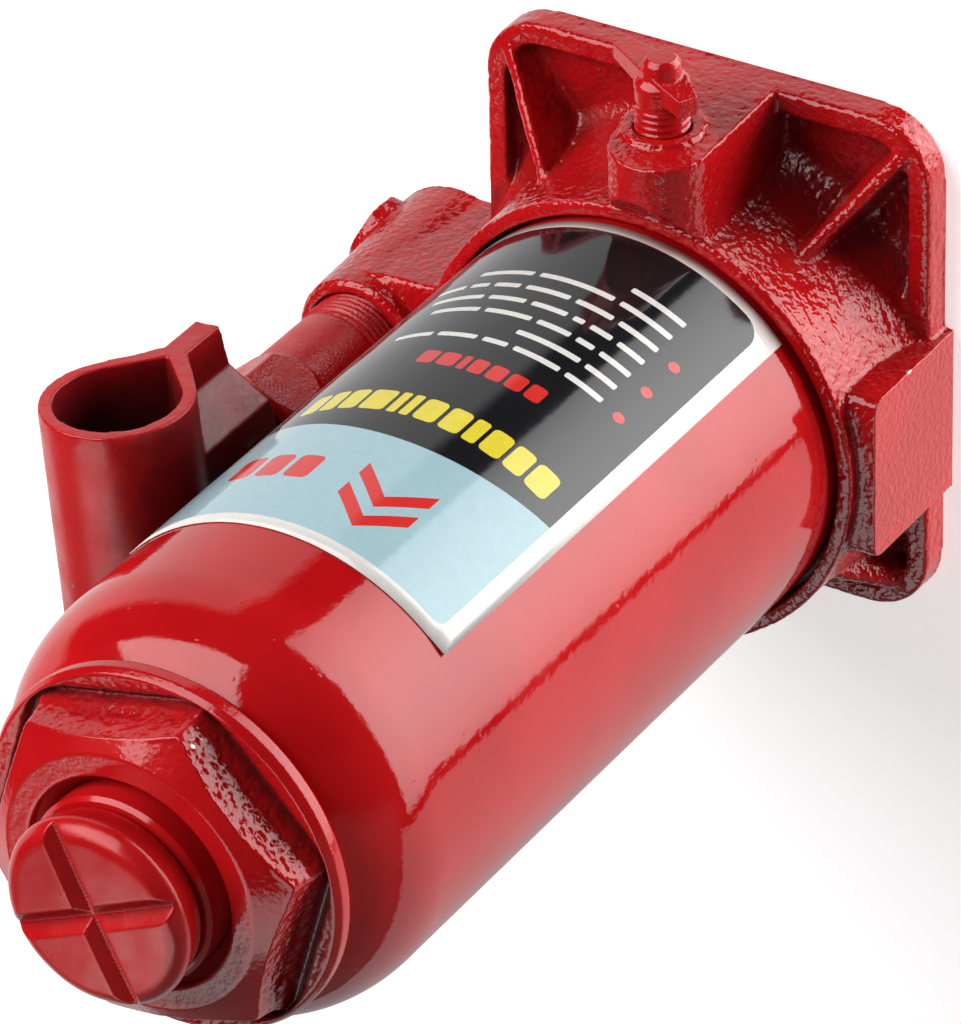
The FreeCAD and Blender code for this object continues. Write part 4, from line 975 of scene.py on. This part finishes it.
@dataclass
class TankNut:
    """Cast nut with a turned chamfer, bore and flange edge."""

    voxel: float = 0.32
    flange_top: float = 208.6
    flange_radius: float = 38.6
    foot_clear: float = 0.2
    flats: float = 30.5
    hex_turn: float = 43.5
    draft: float = 0.16
    draft_top: float = 217.0
    draft_in: float = 0.6
    draft_run: float = 0.3
    draft_out: float = 6.0
    rim_width: float = 3.0
    groove_depth: float = 2.0
    groove_apothem: float = 33.3
    groove_width: float = 1.15
    groove_reach: float = 2.4
    turned_radius: float = 24.0
    turned_texture: float = 0.08
    flange_texture: float = 0.8
    texture: Texture = Texture(3.6, 0.16, 1.2, 0.26)

    def forge(self, body: Solid) -> None:
        """Slopes the hexagon's flats out to their foot and sinks the cast groove that runs round it."""
        most = self.draft * (self.draft_top - self.flange_top)
        sixth = math.pi / 3
        inner, outer = self.flats - self.draft_in, self.flats + self.draft_run
        for vertex in body.data.vertices:
            x, y, z = vertex.co / MM
            radius = math.hypot(x, y)
            if radius < inner or z < self.flange_top - self.groove_reach:
                continue
            off = (math.atan2(y, x) - math.radians(self.hex_turn) + sixth / 2) % sixth - sixth / 2
            apothem = radius * math.cos(off)
            inward = ramp(self.flange_radius - 0.2, self.flange_radius - self.rim_width, radius)
            spread = min(most, max(0.0, self.draft * (self.draft_top - z)))
            if apothem > outer:
                spread *= ramp(self.flats + self.draft_out, outer, apothem) * inward
            elif apothem < inner:
                spread = 0.0
            vertex.co.xy *= (apothem + spread) / apothem
            away = (apothem + spread - self.groove_apothem) / self.groove_width
            low = ramp(self.flange_top + self.groove_reach, self.flange_top + 0.2, z)
            vertex.co.z -= self.groove_depth * math.exp(-away ** 2) * low * inward * MM

    def relief(self, point: Vector, normal: Vector) -> float:
        """Depth of the casting's texture: deep on the hexagon and its cove, none on turned faces."""
        x, y, z = point / MM
        radius = math.hypot(x, y)
        if normal.z < -0.7:
            return self.foot_clear
        if z < self.flange_top - 2.6 or radius < self.turned_radius:
            return 0.0
        turned = ramp(0.35, 0.7, normal.z) * ramp(self.flange_top + 2.5, self.flange_top + 4.0, z)
        rough = 1.0 - (1.0 - self.turned_texture) * turned
        if z < self.flange_top + 0.4:
            rough *= self.flange_texture * ramp(self.flange_radius, self.flange_radius - 2.0, radius)
        return rough * self.texture.depth(point)

    def build(self) -> None:
        """Skins the nut and textures it."""
        body = skin("tank_nut_body", [copy_of("tank_nut")], self.voxel, 1)
        self.forge(body)
        stand_for(dress(carve(body, self.relief), NUT_PAINT), "tank_nut")


@dataclass
class LiftingScrew:
    """Extension screw: threaded shank and forged saddle."""

    voxel: float = 0.32
    relax: int = 4
    thread: Thread = Thread(crest=14.0, root=12.6, pitch=3.0, low=129.0, high=217.0)
    shank_top: float = 218.0
    saddle_low: float = 224.0
    texture: Texture = Texture(8.0, 0.14)
    dome: float = 0.001
    dome_low: float = 227.0
    dome_high: float = 231.0

    def relief(self, point: Vector, normal: Vector) -> float:
        """Shallow forging texture on the saddle."""
        if point.z / MM < self.saddle_low:
            return 0.0
        return self.texture.depth(point)

    def build(self) -> None:
        """Winds the thread into the shank and forges the saddle."""
        body = copy_of("extension_screw")
        for vertex in body.data.vertices:
            radius = math.hypot(vertex.co.x, vertex.co.y) / MM
            if radius > self.thread.root and vertex.co.z / MM < self.shank_top:
                vertex.co.xy *= self.thread.root / radius
        ridge = self.thread.build("screw_ridge")
        whole = skin("extension_screw_body", [body, ridge], self.voxel, self.relax)
        for vertex in whole.data.vertices:
            x, y, z = vertex.co / MM
            vertex.co.z -= self.dome * (x * x + y * y) * ramp(self.dome_low, self.dome_high, z) * MM
        stand_for(dress(carve(whole, self.relief), SCREW_STEEL), "extension_screw")


@dataclass
class PumpBarrel:
    """Pump barrel: wound thread at the root, smooth body and a forged hexagon."""

    voxel: float = 0.28
    radius: float = 10.8
    foot: float = 21.0
    thread: Thread = Thread(crest=11.2, root=10.4, pitch=1.5, low=38.5, high=47.6)
    thread_top: float = 48.0
    edge: float = 0.4
    step_in: float = 0.25
    hex_low: float = 65.6
    hex_texture_low: float = 66.88
    top: float = 80.0
    bore: float = 6.05
    gland: float = 8.65
    gland_depth: float = 4.0
    lap: float = 1.0
    texture: Texture = Texture(3.4, 0.1)

    def relief(self, point: Vector, normal: Vector) -> float:
        """Forging texture on the hexagon's sides only."""
        local = pump_place().inverted() @ point / MM
        if local.z < self.hex_texture_low or math.hypot(local.x, local.y) < self.radius - 0.5:
            return 0.0
        return self.texture.depth(point)

    def crown(self) -> Solid:
        """The CAD barrel above its round body, closed again below."""
        crown = copy_of("pump_barrel")
        grid = bmesh.new()
        grid.from_mesh(crown.data)
        bmesh.ops.bisect_plane(grid, geom=grid.verts[:] + grid.edges[:] + grid.faces[:], dist=WELD, plane_co=(
            0, 0, (self.hex_low - self.lap) * MM), plane_no=(0, 0, 1), clear_inner=True)
        bmesh.ops.holes_fill(grid, edges=[e for e in grid.edges if e.is_boundary])
        grid.to_mesh(crown.data)
        grid.free()
        return crown

    def build(self) -> None:
        """Turns the bored body, winds the thread and adds the hexagon."""
        place = pump_place()
        root, sleeve = self.thread.root, self.gland + 0.5
        end, recess = self.hex_low + self.lap, self.top - self.gland_depth + 0.2
        body = lathe("barrel_core", [
            (self.bore, self.foot), (root, self.foot), (root, self.thread_top),
            (self.radius - self.step_in, self.thread_top), (self.radius, self.thread_top + self.edge),
            (self.radius, end), (sleeve, end), (sleeve, recess), (self.bore, recess)], 96, place)
        parts = [body, self.thread.build("barrel_ridge", place), self.crown()]
        whole = skin("pump_barrel_body", parts, self.voxel, 1)
        stand_for(dress(carve(whole, self.relief), BARREL_PAINT), "pump_barrel")


@dataclass
class HandleSocket:
    """Rolled and pinched sheet that takes the pump handle."""

    voxel: float = 0.38
    relax: int = 4
    mouth: float = -30.8
    rim_mm: float = 2.6
    rim_depth: float = 0.16
    texture: Texture = Texture(7.0, 0.05, 1.4, 0.1, 2)

    def relief(self, point: Vector, normal: Vector) -> float:
        """Faint press marks, rougher where the ears are joggled and uneven at the mouth's rim."""
        local = (pump_place().inverted() @ point) / MM
        joggle = ramp(-23, -19, local.y) * ramp(-9, -13, local.y) * ramp(112, 104, local.z)
        rim = ramp(self.mouth + 2.5, self.mouth + 0.5, local.y)
        uneven = self.rim_depth * (0.5 + 0.5 * grain(point, self.rim_mm))
        return self.texture.depth(point, joggle) + rim * uneven

    def build(self) -> None:
        """Skins the socket with rolled edges."""
        body = skin("handle_socket_body", [copy_of("handle_socket")], self.voxel, self.relax)
        stand_for(dress(carve(body, self.relief), SOCKET_PAINT), "handle_socket")


@dataclass
class ReleaseValve:
    """Release valve screw with a wound thread and a forged winged head, along its own Z axis."""

    voxel: float = 0.2
    relax: int = 7
    thread: Thread = Thread(crest=5.8, root=5.3, pitch=1.5, low=61.0, high=73.2)
    tip: tuple = ((0, 55.8), (2.1, 55.8), (2.1, 55.5), (4.5, 56.0), (4.5, 56.5), (3.06, 56.5), (3.06, 58.2),
                  (4.5, 58.2), (4.5, 59.5))
    root_low: float = 60.2
    shoulder: float = 0.3
    hub_low: float = 75.9
    top: float = 83.0
    hub: float = 5.9
    wing_turn: float = 156.0
    ear_width: float = 4.4
    ear_spread: float = 2.2
    ear_low: float = 0.2
    ear_high: float = 4.8
    ear_ends: tuple = ((9.3, 73.3, 77.2), (-13.8, 77.2, 80.6))
    texture: Texture = Texture(3.0, 0.08, 0.9, 0.05, 2)

    def relief(self, point: Vector, normal: Vector) -> float:
        """Forging texture on the head."""
        if -point.y / MM < self.hub_low:
            return 0.0
        return self.texture.depth(point)

    def head(self, place: Matrix) -> list[Solid]:
        """Knob on the axis that flares into the hub, and two ears that slope away from it."""
        turn = place @ Matrix.Rotation(math.radians(self.wing_turn), 4, "Z")
        half, hub, low, top = self.ear_width / 2, self.hub, self.hub_low, self.top
        parts = [lathe("valve_knob", [
            (0, low), (hub - 0.6, low), (hub, low + 0.8), (hub - 0.2, low + 1.8), (hub - 1.5, low + 3.1),
            (hub - 2.0, top - 1.2), (hub - 2.9, top), (0, top)], 48, place)]
        faces = [[3, 2, 1, 0], [4, 5, 6, 7], [0, 1, 5, 4], [1, 2, 6, 5], [2, 3, 7, 6], [3, 0, 4, 7]]
        for reach, foot, crown in self.ear_ends:
            verts = []
            for along, width, z0, z1 in ((0, half + self.ear_spread, low + self.ear_low, low + self.ear_high),
                                         (reach, half, foot, crown)):
                verts += [turn @ (Vector((along, side * width, z)) * MM)
                          for side, z in ((-1, z0), (1, z0), (1, z1), (-1, z1))]
            parts.append(piece("valve_ear", verts, faces if reach > 0 else [f[::-1] for f in faces]))
        return parts

    def build(self) -> None:
        """Turns the stem, winds the thread and forges the head."""
        place = valve_place()
        root, high, end = self.thread.root, self.thread.high, self.hub_low + 1
        collar = root + self.shoulder
        stem = lathe("valve_stem", list(self.tip) + [
            (root, self.root_low), (root, high), (collar, high + 0.6), (collar, end), (0, end)], 64, place)
        parts = [stem, self.thread.build("valve_ridge", place)] + self.head(place)
        whole = skin("release_valve_screw_body", parts, self.voxel, self.relax)
        stand_for(dress(carve(whole, self.relief), VALVE_STEEL), "release_valve_screw")


@dataclass
class PlainNodes:
    """CAD nodes whose shape is right, listed under the finish that they get."""

    finishes: tuple = (
        (GLOSS, ("link", "passage_plug")),
        (PIN_PAINT, ("plunger_pin", "plunger_pin_clips", "upper_link_pin", "upper_link_pin_clips",
                     "lower_link_pin", "lower_link_pin_clips")),
        (RAM_STEEL, ("ram",)),
        (PLUNGER_STEEL, ("pump_plunger",)),
        (RUBBER, ("filler_plug", "tank_gasket", "tank_nut_seal", "piston_cup", "gland_seal", "plunger_cup",
                  "release_valve_seal")),
        (WIPER, ("ram_wiper",)),
        (STEEL, ("cylinder", "piston_retainer", "ram_stop_ring", "release_valve_ball", "suction_ball",
                 "discharge_ball", "discharge_plug", "overload_ball", "overload_plug")),
        (SPRING_STEEL, ("suction_spring", "discharge_spring", "overload_spring")),
        (COPPER, ("cylinder_gasket", "barrel_washer", "oil_screen")))

    def build(self) -> None:
        """Dresses each node."""
        for finish, nodes in self.finishes:
            for node in nodes:
                dress(frame["nodes"][node], finish)
                LOG.info("%s keeps its CAD shape, finish %s", node, finish.name)


# Studio

@dataclass(frozen=True)
class Softbox:
    """A glow seen only in reflections, by its azimuth and elevation in degrees."""

    azimuth: float
    half_width: float
    low: float
    high: float
    strength: float
    soft: float = 2.0
    drop: float = 0.0
    lean: float = 0.0

    def glow(self, graph: Graph, azimuth: Socket, elevation: Socket) -> Socket:
        """Gives the box's brightness in a direction in radians, which drops to both sides or leans to one."""
        off = graph.math("SUBTRACT", azimuth, math.radians(self.azimuth))
        off = graph.math("WRAP", off, math.pi, -math.pi)
        away = graph.math("ABSOLUTE", off)
        half, soft = math.radians(self.half_width), math.radians(self.soft)
        glow = graph.ramp(away, half - soft, half + soft, self.strength, 0.0)
        if self.drop:
            share = graph.math("DIVIDE", away, half)
            fall = graph.math("MULTIPLY_ADD", graph.math("MULTIPLY", share, share), -self.drop, 1.0)
            glow = graph.math("MULTIPLY", glow, fall)
        if self.lean:
            glow = graph.math("MULTIPLY", glow, graph.math("MULTIPLY_ADD", off, self.lean / half, 1.0))
        low, high = math.radians(self.low), math.radians(self.high)
        glow = graph.math("MULTIPLY", glow, graph.ramp(elevation, low - soft, low + soft))
        return graph.math("MULTIPLY", glow, graph.ramp(elevation, high - soft, high + soft, 1.0, 0.0))


@dataclass(frozen=True)
class Lamp:
    """A soft square lamp, sized in metres, that aims at the jack and isn't seen in its gloss."""

    name: str
    azimuth: float
    elevation: float
    power: float
    size: float = 0.9
    distance: float = 1.2
    aim: float = 0.1

    def build(self) -> None:
        """Hangs the lamp up."""
        light = bpy.data.lights.new(self.name, "AREA")
        light.shape = "SQUARE"
        light.size = self.size
        light.energy = self.power
        lamp = linked(self.name, light)
        a, e = math.radians(self.azimuth), math.radians(self.elevation)
        way = Vector((math.cos(a) * math.cos(e), math.sin(a) * math.cos(e), math.sin(e)))
        lamp.location = Vector((0, 0, self.aim)) + way * self.distance
        lamp.rotation_mode = "QUATERNION"
        lamp.rotation_quaternion = (-way).to_track_quat("-Z", "Y")
        lamp.visible_glossy = False


@dataclass(frozen=True)
class View:
    """The photograph's camera: lens in millimetres, shift in pictures, clipping and place in metres, aim."""

    lens: float = 266.26
    shift: Pair = (-0.01375, 0.00688)
    clip: Pair = (0.1, 50.0)
    eye: tuple = (-0.67411, -0.81883, 1.14667)
    forward: tuple = (0.45137, 0.54342, -0.70779)
    upward: tuple = (0.26755, -0.83911, -0.47362)

    def build(self) -> None:
        """Sets the camera up."""
        data = bpy.data.cameras.new("camera")
        data.lens = self.lens
        data.shift_x, data.shift_y = self.shift
        data.clip_start, data.clip_end = self.clip
        forward, upward = Vector(self.forward).normalized(), Vector(self.upward).normalized()
        turn = Matrix((forward.cross(upward), upward, -forward)).transposed()
        camera = linked("camera", data)
        camera.matrix_world = Matrix.Translation(Vector(self.eye)) @ turn.to_4x4()
        bpy.context.scene.camera = camera


@dataclass
class Studio:
    """Pale floor, even light, softboxes for the gloss, two lamps and the camera."""

    ambient: float = 0.17
    floor_glow: float = 0.6
    floor_grey: float = 0.82
    floor_half: float = 6.0
    boxes: tuple = (
        Softbox(-144.0, 46.0, -82.0, -20.0, 5.0, 1.0, 0.5),
        Softbox(112.0, 53.0, -90.0, -12.0, 0.8, 1.0, 0.0, 0.5),
        Softbox(-6.0, 66.0, -90.0, -20.0, 0.9, 4.0),
        Softbox(-62.0, 31.0, 11.0, 62.0, 4.7, 1.5),
        Softbox(30.0, 34.0, -20.0, 5.0, 0.8, 4.0),
        Softbox(105.0, 75.0, -12.0, 48.0, 0.23, 8.0),
        Softbox(92.0, 42.0, 36.0, 75.0, 2.2, 4.0),
    )
    lamps: tuple = (Lamp("key", -42, 38, 18.5), Lamp("side", -162, -42, 25.0))
    view: View = View()

    def world(self) -> None:
        """White to the camera, even to diffuse rays, and the softboxes to glossy ones."""
        world = bpy.data.worlds.new("studio")
        bpy.context.scene.world = world
        world.use_nodes = True
        graph = Graph(world.node_tree)
        direction = graph.node("SeparateXYZ", {0: graph.node("TexCoord").outputs["Generated"]}).outputs
        azimuth = graph.math("ARCTAN2", direction[1], direction[0])
        elevation = graph.math("ARCSINE", direction[2])
        total = 0.0
        for box in self.boxes:
            total = graph.math("ADD", box.glow(graph, azimuth, elevation), total)
        path = graph.node("LightPath").outputs
        even = graph.blend(path["Is Glossy Ray"], self.ambient, total)
        strength = graph.blend(path["Is Camera Ray"], even, 1.0)
        light = graph.node("Background", {"Color": colour(1, 1, 1), "Strength": strength}).outputs[0]
        graph.node("OutputWorld", {"Surface": light})

    def floor(self) -> None:
        """Pale floor that keeps the jack's shadow and is white elsewhere."""
        half, grey = self.floor_half, self.floor_grey
        ground = piece("floor", [(-half, -half, 0), (half, -half, 0), (half, half, 0), (-half, half, 0)],
                       [[0, 1, 2, 3]], False)
        made = bpy.data.materials.new("pale_floor")
        made.use_nodes = True
        graph = Graph(made.node_tree)
        seen = graph.math("MULTIPLY", graph.node("LightPath").outputs["Is Camera Ray"], self.floor_glow)
        white = graph.node("Emission", {"Color": colour(1, 1, 1), "Strength": seen}).outputs[0]
        matt = graph.node("BsdfDiffuse", {"Color": colour(grey, grey, grey)}).outputs[0]
        graph.node("OutputMaterial", {"Surface": graph.node("AddShader", {0: matt, 1: white}).outputs[0]})
        ground.data.materials.append(made)
        ground.visible_glossy = ground.visible_diffuse = ground.visible_shadow = False

    def build(self) -> None:
        """Sets the studio up."""
        self.world()
        self.floor()
        for lamp in self.lamps:
            lamp.build()
        self.view.build()
        bpy.context.scene.view_settings.view_transform = "Standard"


def main() -> None:
    """Builds every sub-assembly round the frame."""
    logging.basicConfig(level=logging.INFO, format="%(name)s: %(message)s")
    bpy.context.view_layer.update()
    for part in (BaseCasting(), Tank(), Label(), TankNut(), LiftingScrew(), PumpBarrel(), HandleSocket(),
                 ReleaseValve(), PlainNodes(), Studio()):
        part.build()


if __name__ == "__main__":
    main()
